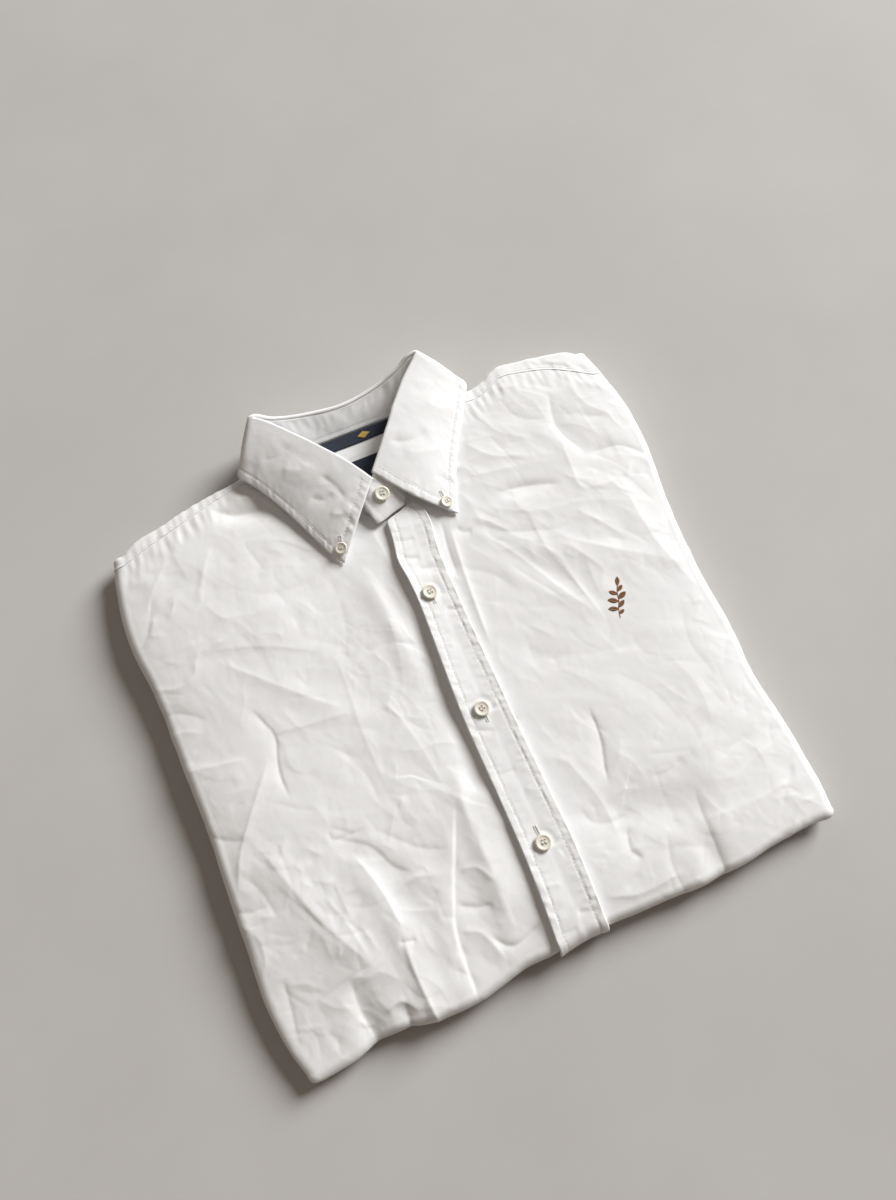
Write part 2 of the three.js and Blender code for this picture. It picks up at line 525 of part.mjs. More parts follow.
function leafPoint(s, w) {
  // w from 0 to 1 from the end of the roll to the edge
  const { edge, h, centre, slope } = collarRow(s);
  const a = slope;
  const start = centre.clone().addScaledVector(h, LEAF_ROLL * Math.sin(a));
  start.z += LEAF_ROLL * Math.cos(a);
  const p = start.lerp(edge, w);
  const bulge = 1.6 * Math.sin(Math.PI * w);
  p.addScaledVector(h, bulge * Math.sin(a) * 0.8);
  p.z += bulge * Math.cos(a);
  // the left leaf's front edge bows a little towards the placket
  const bow = 3 * Math.sin(Math.PI * w) * Math.exp(-(COLLAR.length - 1 - s) * 1.1);
  p.x -= 0.72 * bow;
  p.y -= 0.68 * bow;
  return [p.x, p.y, p.z];
}
function leaf() {
  const around = steps(46).map((t) => t * (COLLAR.length - 1));
  const grid = around.map((s) => {
    const { h, centre, slope } = collarRow(s);
    const column = [];
    for (const degrees of ROLL) {
      const a = Math.min(degrees * Math.PI / 180, slope - 0.05);
      const p = centre.clone().addScaledVector(h, LEAF_ROLL * Math.sin(a));
      p.z += LEAF_ROLL * Math.cos(a);
      column.push([p.x, p.y, p.z]);
    }
    for (const w of steps(5)) column.push(leafPoint(s, w));
    return column;
  });
  const normals = UP(grid);
  group.add(wall('collar_leaf', grid, normals, 0, LEAF_THICK, cotton));
}
leaf();

// ---- trim inside the back neck ----
const inNeck = (x, y) => yokeTop(x, y) + TRIM_GAP;
function ribbon(name, columns, rows, point) {
  const grid = steps(columns).map((s) => steps(rows).map((t) => point(s, t)));
  group.add(wall(name, grid, UP(grid), TRIM_THICK, 0, navy));
}
ribbon('neck_tape', 14, 1, (s, t) => {
  const x = lerp(TAPE[0][0], TAPE[TAPE.length - 1][0], s);
  const y = lerp(at(TAPE, x, 1), at(TAPE, x, 2), t);
  return [x, y, inNeck(x, y)];
});
ribbon('neck_label', 6, 4, (s, t) => {
  const x = LABEL.centre_x + (s - 0.5) * LABEL.width * lerp(0.5, 1, t);
  const y = lerp(LABEL.low_y, LABEL.high_y, t);
  return [x, y, inNeck(x, y)];
});

// ---- buttons ----
const wasm = await Module();
wasm.setup();
function solidFrom(geometry) {
  const bare = geometry.clone();
  bare.deleteAttribute('normal');
  bare.deleteAttribute('uv');
  const merged = mergeVertices(bare, 1e-4);
  return new wasm.Manifold(new wasm.Mesh({
    numProp: 3,
    vertProperties: new Float32Array(merged.getAttribute('position').array),
    triVerts: new Uint32Array(merged.index.array),
  }));
}
// a four-hole button with a raised rim, its axis along +Z and its underside at z = 0
function buttonGeometry(radius) {
  const t = radius * 0.36;
  const profile = [[0, 0], [radius * 0.86, 0], [radius, t * 0.4], [radius, t * 0.75],
    [radius * 0.9, t], [radius * 0.74, t * 0.96], [radius * 0.6, t * 0.62], [0, t * 0.62]]
    .map(([r, z]) => new THREE.Vector2(r, z));
  const lathe = new THREE.LatheGeometry(profile, 16);
  lathe.rotateX(Math.PI / 2);
  let solid = solidFrom(lathe);
  for (let k = 0; k < 4; k++) {
    const a = (k + 0.5) * Math.PI / 2;
    const hole = new THREE.CylinderGeometry(radius * 0.13, radius * 0.13, t * 4, 5);
    hole.rotateX(Math.PI / 2);
    hole.translate(Math.cos(a) * radius * 0.3, Math.sin(a) * radius * 0.3, 0);
    solid = solid.subtract(solidFrom(hole));
  }
  const m = solid.getMesh();
  const geometry = new THREE.BufferGeometry();
  geometry.setAttribute('position', new THREE.BufferAttribute(new Float32Array(m.vertProperties), 3));
  geometry.setIndex(Array.from(m.triVerts));
  geometry.computeVertexNormals();
  return geometry;
}
const shirtButton = buttonGeometry(SHIRT_BUTTON_RADIUS);
const collarButton = buttonGeometry(COLLAR_BUTTON_RADIUS);
function button(name, geometry, place, normal) {
  const mesh = new THREE.Mesh(geometry, shell);
  mesh.name = name;
  mesh.position.set(...place);
  mesh.quaternion.setFromUnitVectors(new THREE.Vector3(0, 0, 1), normal);
  group.add(mesh);
}
// the surface's place and normal under a button, and how far its rim must stand clear
function seat(surface, x, y, radius) {
  const z = surface(x, y);
  const d = radius * 0.8;
  const dx = (surface(x + d, y) - surface(x - d, y)) / (2 * d);
  const dy = (surface(x, y + d) - surface(x, y - d)) / (2 * d);
  const normal = new THREE.Vector3(-dx, -dy, 1).normalize();
  let lift = 0;
  for (let k = 0; k < 12; k++) {
    const [cx, cy] = [Math.cos(k * Math.PI / 6) * radius, Math.sin(k * Math.PI / 6) * radius];
    lift = Math.max(lift, surface(x + cx, y + cy) - (z + dx * cx + dy * cy));
  }
  return [[x, y, z + lift + 0.4], normal];
}
for (const [name, [x, y]] of Object.entries(PLACKET_BUTTONS)) {
  button(name, shirtButton, ...seat(placketTop, x, y, SHIRT_BUTTON_RADIUS));
}
// the height of a sheet given by stations, found by its nearest plan point
function sheetHeight(point, from, to) {
  const cloud = [];
  for (let s = from; s <= to; s += 0.05) {
    for (let w = 0; w <= 1; w += 0.02) cloud.push(point(s, w));
  }
  return (x, y) => {
    let best = Infinity;
    let z = 0;
    for (const p of cloud) {
      const d = (p[0] - x) ** 2 + (p[1] - y) ** 2;
      if (d < best) {
        best = d;
        z = p[2];
      }
    }
    return z;
  };
}
const ends = COLLAR.length - 1;
const bandPoint = (s, w) => {
  const [low, high] = standMid(s);
  const p = low.clone().lerp(high, w);
  return [p.x, p.y, p.z + Math.sin(Math.PI * w) + STAND_THICK / 2];
};
button('band_button', shirtButton,
  ...seat(sheetHeight(bandPoint, ends - 1, ends + BAND_END.length), ...BAND_BUTTON, SHIRT_BUTTON_RADIUS));
for (const [name, [x, y]] of Object.entries(COLLAR_POINT_BUTTONS)) {
  const near = x < 0 ? sheetHeight(leafPoint, 0, 3) : sheetHeight(leafPoint, ends - 3, ends);
  button(name, collarButton, ...seat(near, x, y, COLLAR_BUTTON_RADIUS));
}

export default group;
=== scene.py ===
"""Looks of the folded long-sleeved shirt.

Lengths are millimetres in the shape code and metres in the meshes. Right and left are the wearer's.
"""
import math

import bpy
import numpy as np
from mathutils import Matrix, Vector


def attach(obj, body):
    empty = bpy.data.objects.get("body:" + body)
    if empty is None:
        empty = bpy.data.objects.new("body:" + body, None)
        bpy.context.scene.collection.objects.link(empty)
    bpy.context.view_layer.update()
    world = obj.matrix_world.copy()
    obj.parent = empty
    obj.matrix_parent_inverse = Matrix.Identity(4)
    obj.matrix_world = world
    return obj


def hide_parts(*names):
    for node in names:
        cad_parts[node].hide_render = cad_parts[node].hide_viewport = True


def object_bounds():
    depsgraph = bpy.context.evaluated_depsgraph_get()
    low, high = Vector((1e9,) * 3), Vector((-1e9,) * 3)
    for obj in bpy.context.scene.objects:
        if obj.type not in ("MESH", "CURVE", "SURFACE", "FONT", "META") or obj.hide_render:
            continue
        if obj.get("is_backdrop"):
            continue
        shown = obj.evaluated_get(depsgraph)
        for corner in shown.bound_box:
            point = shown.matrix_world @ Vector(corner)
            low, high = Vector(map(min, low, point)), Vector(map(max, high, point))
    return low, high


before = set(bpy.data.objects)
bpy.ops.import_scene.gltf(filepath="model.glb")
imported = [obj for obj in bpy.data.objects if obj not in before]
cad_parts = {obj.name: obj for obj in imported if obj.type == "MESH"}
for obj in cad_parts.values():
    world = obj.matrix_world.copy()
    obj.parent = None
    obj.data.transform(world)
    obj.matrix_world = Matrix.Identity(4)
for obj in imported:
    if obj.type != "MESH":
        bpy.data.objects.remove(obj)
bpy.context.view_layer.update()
MM = 0.001
scene = bpy.context.scene
scene.view_settings.view_transform = "Standard"

# ---------------------------------------------------------------- camera and light
camera = bpy.data.objects.new("camera", bpy.data.cameras.new("camera"))
camera.data.lens = 30.0
camera.data.sensor_width = 36.0
camera.location = (-0.0808, -0.1806, 0.707)
camera.rotation_euler = (math.radians(19), 0, math.radians(-23.75))
camera.data.clip_start = 0.01
scene.collection.objects.link(camera)
scene.camera = camera


def area_light(name, place, size, power, colour):
    """A round area light that faces the middle of the floor."""
    data = bpy.data.lights.new(name, "AREA")
    data.shape, data.size, data.energy, data.color = "DISK", size, power, colour
    light = bpy.data.objects.new(name, data)
    light.location = place
    turn_axis = np.cross((0, 0, 1.0), place)
    aside = np.linalg.norm(turn_axis)
    light.rotation_mode = "AXIS_ANGLE"
    light.rotation_axis_angle = (math.atan2(aside, place[2]), *(turn_axis / aside))
    scene.collection.objects.link(light)


area_light("key", (10.44, 4.65, 6.20), 6.6, 2560.0, (1.0, 0.997, 0.992))
area_light("fill", (-1.2, 2.2, 4.8), 2.4, 13.0, (0.97, 0.985, 1.0))
world = bpy.data.worlds.new("studio")
scene.world = world
world.use_nodes = True
background = world.node_tree.nodes["Background"]
background.inputs["Color"].default_value = (1.0, 0.82, 0.66, 1)
background.inputs["Strength"].default_value = 0.155


# ---------------------------------------------------------------- materials
def put(tree, node, **values):
    """Sets a node's sockets and properties; a value that is a socket is linked instead."""
    for key, value in values.items():
        socket = node.inputs.get(key.replace("_", " "))
        if isinstance(value, bpy.types.NodeSocket):
            tree.links.new(value, socket)
        elif socket is not None:
            socket.default_value = value
        else:
            setattr(node, key, value)
    return node


def add(tree, kind, **values):
    return put(tree, tree.nodes.new("ShaderNode" + kind), **values)


def calculate(tree, operation, *values):
    """A math node's output; each value is a number or a socket."""
    node = add(tree, "Math", operation=operation)
    for socket, value in zip(node.inputs, values):
        if isinstance(value, bpy.types.NodeSocket):
            tree.links.new(value, socket)
        else:
            socket.default_value = value
    return node.outputs[0]


def material(name, base, roughness, **values):
    m = bpy.data.materials.new(name)
    m.use_nodes = True
    m.diffuse_color = (*base, 1)
    p = m.node_tree.nodes["Principled BSDF"]
    put(m.node_tree, p, Base_Color=(*base, 1), Roughness=roughness, **values)
    return m, m.node_tree, p


def place_of(tree, scale=(1, 1, 1), turn=0.0):
    where = add(tree, "TexCoord").outputs["Object"]
    return add(tree, "Mapping", Scale=scale, Rotation=(0, 0, turn), Vector=where).outputs["Vector"]


def noise_of(tree, where, **values):
    return add(tree, "TexNoise", Vector=where, **values).outputs["Fac"]


def colour_ramp(tree, source, stops):
    ramp = add(tree, "ValToRGB", Fac=source)
    elements = ramp.color_ramp.elements
    while len(elements) < len(stops):
        elements.new(0.5)
    for element, (position, colour) in zip(elements, stops):
        element.position = position
        element.color = (*colour, 1)
    return ramp.outputs["Color"]


def ranged(tree, source, low, high):
    return add(tree, "MapRange", Value=source, To_Min=low, To_Max=high).outputs["Result"]


def bumped(tree, height, strength, depth, **under):
    """A bump's normal, with its depth in millimetres."""
    return add(tree, "Bump", Height=height, Strength=strength, Distance=depth * MM,
               **under).outputs["Normal"]


def woven(name, light, dark, roughness, pitch, depth, sheen, direction=0.0, twill=False,
          through=0.0):
    """Cloth whose threads cross at the given pitch in millimetres, with slubs and soft mottling."""
    m, tree, p = material(
        name, light, roughness, Sheen_Weight=sheen, Specular_IOR_Level=0.35,
        Subsurface_Weight=through, Subsurface_Radius=(1.0, 0.85, 0.7), Subsurface_Scale=2.6 * MM)
    where = place_of(tree, turn=direction)
    mottled = noise_of(tree, where, Scale=38.0, Detail=5.0, Roughness=0.6)
    slubs = noise_of(tree, where, Scale=900.0, Detail=2.0)
    blend = calculate(tree, "MULTIPLY_ADD", slubs, 0.35, mottled)
    threads = None
    for way in ("DIAGONAL",) if twill else ("X", "Y", "Z"):
        wave = add(tree, "TexWave", Scale=WAVE_SCALE / (pitch * MM), Distortion=0.6, Detail=1.0,
                   wave_type="BANDS", bands_direction=way, Vector=where).outputs["Fac"]
        threads = wave if threads is None else calculate(tree, "MULTIPLY", threads, wave)
    weave = bumped(tree, threads, 0.35, depth)
    put(tree, p, Base_Color=colour_ramp(tree, blend, [(0.45, dark), (0.85, light)]),
        Roughness=ranged(tree, mottled, roughness - 0.05, roughness + 0.05),
        Normal=bumped(tree, slubs, 0.25, 0.12, Normal=weave))
    return m


def shell_material():
    m, tree, p = material(
        "button_shell", (0.80, 0.73, 0.60), 0.30, Coat_Weight=0.35, Coat_Roughness=0.18,
        Subsurface_Weight=0.12, Subsurface_Radius=(0.002, 0.0015, 0.001), Subsurface_Scale=1.0)
    clouds = noise_of(tree, place_of(tree, (1, 1, 3)), Scale=260.0, Detail=4.0, Roughness=0.55,
                      Distortion=1.4)
    colours = [(0.30, (0.83, 0.77, 0.64)), (0.52, (0.88, 0.84, 0.74)), (0.75, (0.92, 0.89, 0.82))]
    put(tree, p, Base_Color=colour_ramp(tree, clouds, colours),
        Roughness=ranged(tree, clouds, 0.22, 0.42), Normal=bumped(tree, clouds, 0.2, 0.05))
    return m


def floor_material():
    m, tree, p = material("pale_floor", (0.545, 0.535, 0.522), 0.75, Specular_IOR_Level=0.35)
    clouds = noise_of(tree, place_of(tree), Scale=5.0, Detail=6.0, Roughness=0.6)
    colours = [(0.3, (0.525, 0.515, 0.50)), (0.7, (0.565, 0.556, 0.545))]
    put(tree, p, Base_Color=colour_ramp(tree, clouds, colours))
    return m


WAVE_SCALE = 0.314      # a band texture's scale for one thread to the metre
COTTON = woven("shirt_cotton", (0.922, 0.928, 0.934), (0.902, 0.908, 0.912), 0.86, 0.46, 0.06, 0.12,
               through=0.12)
COTTON_TRIM = woven("trim_cotton", (0.925, 0.931, 0.937), (0.905, 0.911, 0.915), 0.84, 0.46, 0.06,
                    0.12, direction=0.5, through=0.3)
# the folded layers are the shirt's own white cotton, coloured darker as painted shade beneath the
# fronts
LAYERS_PAINTED_SHADE = woven("hidden_cotton_painted_shade", (0.83, 0.82, 0.80), (0.80, 0.79, 0.77), 0.88, 0.46, 0.06, 0.1)
NAVY = woven("navy_twill", (0.011, 0.020, 0.043), (0.007, 0.012, 0.027), 0.66, 0.42, 0.10, 0.25,
             twill=True)
GOLD = woven("gold_thread", (0.70, 0.49, 0.13), (0.52, 0.33, 0.07), 0.48, 0.3, 0.05, 0.1)
BROWN = woven("brown_thread", (0.34, 0.155, 0.055), (0.20, 0.085, 0.032), 0.55, 0.3, 0.05, 0.15)
THREAD = woven("white_thread", (0.87, 0.865, 0.85), (0.80, 0.79, 0.77), 0.6, 0.25, 0.04, 0.15)
SLIT = woven("slit_shade", (0.34, 0.32, 0.30), (0.26, 0.24, 0.22), 0.9, 0.4, 0.03, 0.0)
SHELL = shell_material()

# ---------------------------------------------------------------- sizes shared with the solids
CLOTH, SEAM = 1.2, 0.3
PILE_MIDDLE, PILE_RIM = 22.5, 17.0
SIDE_TURN, BOTTOM_TURN, TOP_TURN = 8.0, 7.0, 5.2
SIDE_FOOT, BOTTOM_FOOT, TOP_FOOT = 6.2, 3.2, 6.0
TURN_END = math.radians(155)
NECK_DROP, CORE_GAP = 3.6, 1.3
PLACKET_THICK, PLACKET_GAP, PLACKET_END = 1.7, 0.6, 115.0
RIGHT_FRONT_EDGE, LEFT_FRONT_EDGE = 7.0, 10.5
STAND_THICK, LEAF_ROLL = 1.2, 2.0
SHIRT_BUTTON_RADIUS, COLLAR_BUTTON_RADIUS = 5.7, 4.6
SIDES = [
    [-225, -191, 193], [-200, -199.5, 197], [-165, -204, 197], [-135, -203, 195.5],
    [-100, -203, 193], [-65, -202, 196], [-30, -202, 195], [0, -202.5, 196],
    [30, -203.5, 199], [60, -205, 203], [95, -209, 208], [125, -207.5, 209],
    [150, -203.5, 206], [170, -199, 202.5], [190, -194, 198]]
ENDS = [
    [-200, -224, 163, 155], [-180, -223, 174, 161.5], [-160, -221, 178, 167],
    [-145, -217, 182, 171], [-125, -217.5, 186, 176.5], [-108, -220.5, 188.5, 180.5],
    [-90, -221.5, 191.5, 184], [-75, -221, 200, 187], [-64, -219.5, 204, 190],
    [-54, -217.5, 206, 172], [-38, -214.5, 207, 150], [-20, -214.5, 207, 127],
    [0, -212.5, 207, 110], [20, -212.5, 207, 127], [38, -213.5, 207, 150],
    [54, -214, 206, 172], [64, -214.5, 204, 189], [75, -215, 200, 185],
    [90, -215.5, 192.5, 180.5], [102, -215, 191.5, 179.5], [112, -215, 194, 183],
    [127, -214.5, 201, 189], [145, -212, 200, 186], [165, -210, 196.5, 180],
    [185, -210.5, 191.5, 169], [200, -214.5, 181, 160]]
PLACKET = [
    [-214, -16, 19.5, 0.8], [-180, -13.5, 21.5, 2.2], [-148, -12, 22.5, 2.8],
    [-110, -11.5, 22, 2.2], [-70, -11.5, 21.5, 2.6], [-40, -11, 21.5, 3.2],
    [0, -8.5, 21.5, 2.4], [40, -6, 22, 2.8], [60, -6.5, 22.5, 3.4],
    [76, -7.5, 23.6, 2.6], [90, -5, 26, 1.6], [100, -3.6, 27, 1.2],
    [106, -3, 26.4, 1], [109.5, -1.5, 25.2, 0.8], [112, 7, 23.6, 0.6], [PLACKET_END, 17, 20.4, 0.5]]
# broad folds, each [x, y, height, half width] along its line
RIGHT_FRONT_FOLDS = {
    "step_edge": [[-43, -94, 0, 7], [-59, -128, 1.2, 7], [-76, -165, 1.8, 8], [-84, -195, 2.0, 8],
                  [-86, -222, 1.8, 8]],
    "step_hollow": [[-33, -92, 0, 8], [-42, -128, -2.6, 10], [-53, -165, -3.6, 13],
                    [-61, -195, -3.8, 15], [-63, -222, -3.0, 15]],
    "front_edge_dip": [[-8, 60, 0, 8], [-14, 20, -1.0, 9], [-17, -40, -1.4, 9],
                       [-20, -90, -1.4, 9]],
    "long_ridge": [[-184, -72, 0, 9], [-167, -96, 2.2, 9], [-152, -134, 3.0, 9],
                   [-134, -170, 2.2, 9], [-122, -190, 0, 8]],
    "bright_ridge": [[-122, -98, 0, 7], [-114, -121, 2.2, 7], [-108, -152, 2.8, 7],
                     [-104, -180, 2.2, 8], [-105, -216, 3.2, 10]],
    "bright_hollow": [[-108, -104, 0, 8], [-97, -128, -2.2, 10], [-90, -158, -1.8, 10],
                      [-88, -190, -1.2, 10]],
    "corner_hollow": [[-146, -176, 0, 8], [-147, -198, -3.2, 9], [-145, -220, -3.8, 10]],
    "dark_crease": [[-170, 54, 0, 8], [-146, 16, -1.6, 7], [-136, -10, -2.4, 6],
                    [-141, -34, -2.2, 6], [-140, -52, 0, 7]],
    "upper_line": [[-154, 58, 0, 8], [-118, 24, 1.4, 9], [-82, -12, 1.2, 9], [-66, -30, 0, 9]],
    "star_arm": [[-84, -12, 0, 8], [-112, -8, 1.3, 8], [-136, -4, 0, 8]],
    "side_ridge": [[-146, -20, 0, 8], [-172, -52, 1.8, 8], [-196, -94, 1.4, 9]],
    "collar_dent": [[-124, 168, 0, 8], [-106, 162, -2.4, 7], [-84, 157, -2.6, 8], [-70, 150, 0, 8]],
    "chest_swell": [[-96, 110, 0, 30], [-110, 60, 1.4, 34], [-100, 10, 0, 30]],
    "radial": [[-40, 92, 0, 8], [-34, 60, 1.2, 8], [-28, 20, 1.2, 9], [-30, -20, 0, 9]],
    "cross": [[-128, -88, 0, 8], [-104, -110, -1.4, 7], [-82, -132, 0, 7]]}
LEFT_FRONT_FOLDS = {
    "shoulder_y": [[156, 160, 0, 7], [149, 134, -1.8, 7], [160, 103, -2.0, 7], [174, 100, -1.6, 7],
                   [200, 82, 0, 7]],
    "shoulder_ridge": [[112, 150, 0, 8], [136, 128, 1.4, 8], [150, 112, 1.6, 8], [146, 84, 0, 8]],
    "collar_slot": [[58, 88, 0, 7], [84, 97, -2.4, 6], [106, 93, -2.6, 6], [130, 86, 0, 7]],
    "slot_lip": [[60, 78, 0, 8], [90, 84, 1.6, 8], [128, 76, 0, 8]],
    "spray_a": [[58, 78, 0, 8], [86, 52, 1.8, 8], [120, 30, 2.0, 9], [160, 6, 1.2, 10],
                [186, -8, 0, 9]],
    "spray_b": [[56, 68, 0, 8], [80, 38, -1.8, 8], [108, 6, -2.2, 9], [118, -14, 0, 8]],
    "spray_c": [[44, 62, 0, 8], [66, 36, 1.5, 8], [92, 4, 1.4, 8], [110, -22, 0, 8]],
    "side_line": [[150, 76, 0, 8], [168, 44, 1.5, 9], [178, 4, 1.2, 9], [186, -34, 0, 9]],
    "low_crease": [[70, -72, 0, 8], [67, -102, -2.2, 7], [61, -132, 0, 8]],
    "low_hollow": [[44, -120, 0, 14], [60, -150, -2.4, 18], [92, -160, -2.6, 18],
                   [128, -158, 0, 14]],
    "low_ridge": [[74, -182, 0, 10], [110, -186, 1.4, 12], [160, -182, 0, 12]],
    "hem_press": [[96, -168, 0, 8], [104, -190, -1.4, 8], [104, -216, -1.2, 8]]}
COLLAR = np.array([
    [-14, 117, 0, -1.4, 139.6, 37.1, -43.8, 91.3, 25],
    [-21, 127, 0, -11.8, 157.3, 39.1, -50.3, 100.7, 24.8],
    [-30, 139.5, 0, -24.5, 174.6, 40.4, -56.9, 117.2, 24.6],
    [-39, 152, 0, -37.7, 191.4, 40.7, -64.9, 137.8, 24.6],
    [-48, 165, 0, -50.7, 207.3, 40.7, -74, 158.6, 24.8],
    [-55.5, 177, 0, -60.3, 217.5, 40.4, -83, 175.2, 24.8],
    [-60.5, 187, 0, -65.8, 221.6, 39.7, -91.5, 188.4, 24],
    [-59, 192.5, 0, -65.7, 223.7, 39.1, -85, 202.6, 12],
    [-54, 194.5, 0, -60.8, 224.1, 37.1, -72, 219.5, 11],
    [-44, 194.2, 0, -49.5, 219.1, 33.4, -54, 223.5, 9],
    [-24, 193.2, 0, -26.2, 214.6, 29.8, -30, 222, 8],
    [0, 193, 0, 1.6, 211.6, 28.7, 0, 221, 7.5],
    [24, 193.2, 0, 29.2, 215, 29.8, 30, 223, 8],
    [44, 194.2, 0, 50.8, 219.9, 35.4, 54, 225.5, 9],
    [54, 194.5, 0, 62, 224.2, 40, 73, 221.8, 11],
    [59, 192.5, 0, 68.4, 224.8, 41.3, 90.2, 207.1, 14],
    [60.5, 187, 0, 70, 223.2, 41.4, 98.9, 193.9, 24],
    [55.5, 177, 0, 64.1, 216.9, 41.1, 91.6, 178.9, 25],
    [48, 165, 0, 52.5, 205.8, 41.1, 81.2, 161.5, 25.1],
    [39, 152, 0, 39.3, 190.6, 41.1, 70.1, 143.3, 25.1],
    [30, 139.5, 0, 27.1, 175.3, 40.4, 59.5, 123.2, 25.1],
    [21, 128, 0.4, 13.9, 159.2, 38.7, 52.5, 105.6, 25.1],
    [14, 116, 2.4, 1.7, 144.6, 37.1, 48.4, 94, 25.1]])
# the cloth of the right leaf lies flatter than its solid: station, fold lower, long edge higher
FLATTER = [[1, 0.8, 0.3], [2, 1.6, 1.2], [3, 2.2, 2.2], [4, 2.4, 2.6], [5, 2.4, 2.4], [6, 2.0, 1.4],
           [7, 1.2, 0.5], [8, 0.5, 0]]
for station, fold_down, edge_up in FLATTER:
    COLLAR[station, 4:6] += (0.56 * fold_down, -fold_down)
    COLLAR[station, 7:9] += (-0.47 * edge_up, edge_up)
BAND_END = [[4, 113.4, 2.6, -5.6, 135.6, 33.1], [-5, 110.2, 3, -12.2, 129.4, 30.5],
            [-10, 109.6, 3.2, -14.2, 122.8, 28.7]]
STAND_START = 1
PLACKET_BUTTONS = {"placket_button_1": (4, 44.5), "placket_button_2": (3, -48.5),
                   "placket_button_3": (3, -147.5)}
BAND_BUTTON = (1.5, 128)
COLLAR_POINT_BUTTONS = {"collar_button_right": (-42, 101.5), "collar_button_left": (43.5, 104.5)}
TAPE = [[-46, 183.5, 192.4], [-30, 182, 192.2], [-12, 181.6, 192], [4, 181.4, 192],
        [20, 181.6, 192], [34, 182.2, 192.2], [46, 183.5, 192.4]]
LABEL = {"centre_x": 2.5, "low_y": 142, "high_y": 167.5, "width": 48}
TRIM_GAP = 0.35
SPRIG = (127.0, -15.5)
WAIST = {"reach": 0.5, "above_foot": 0.9, "below_foot": 0.9}
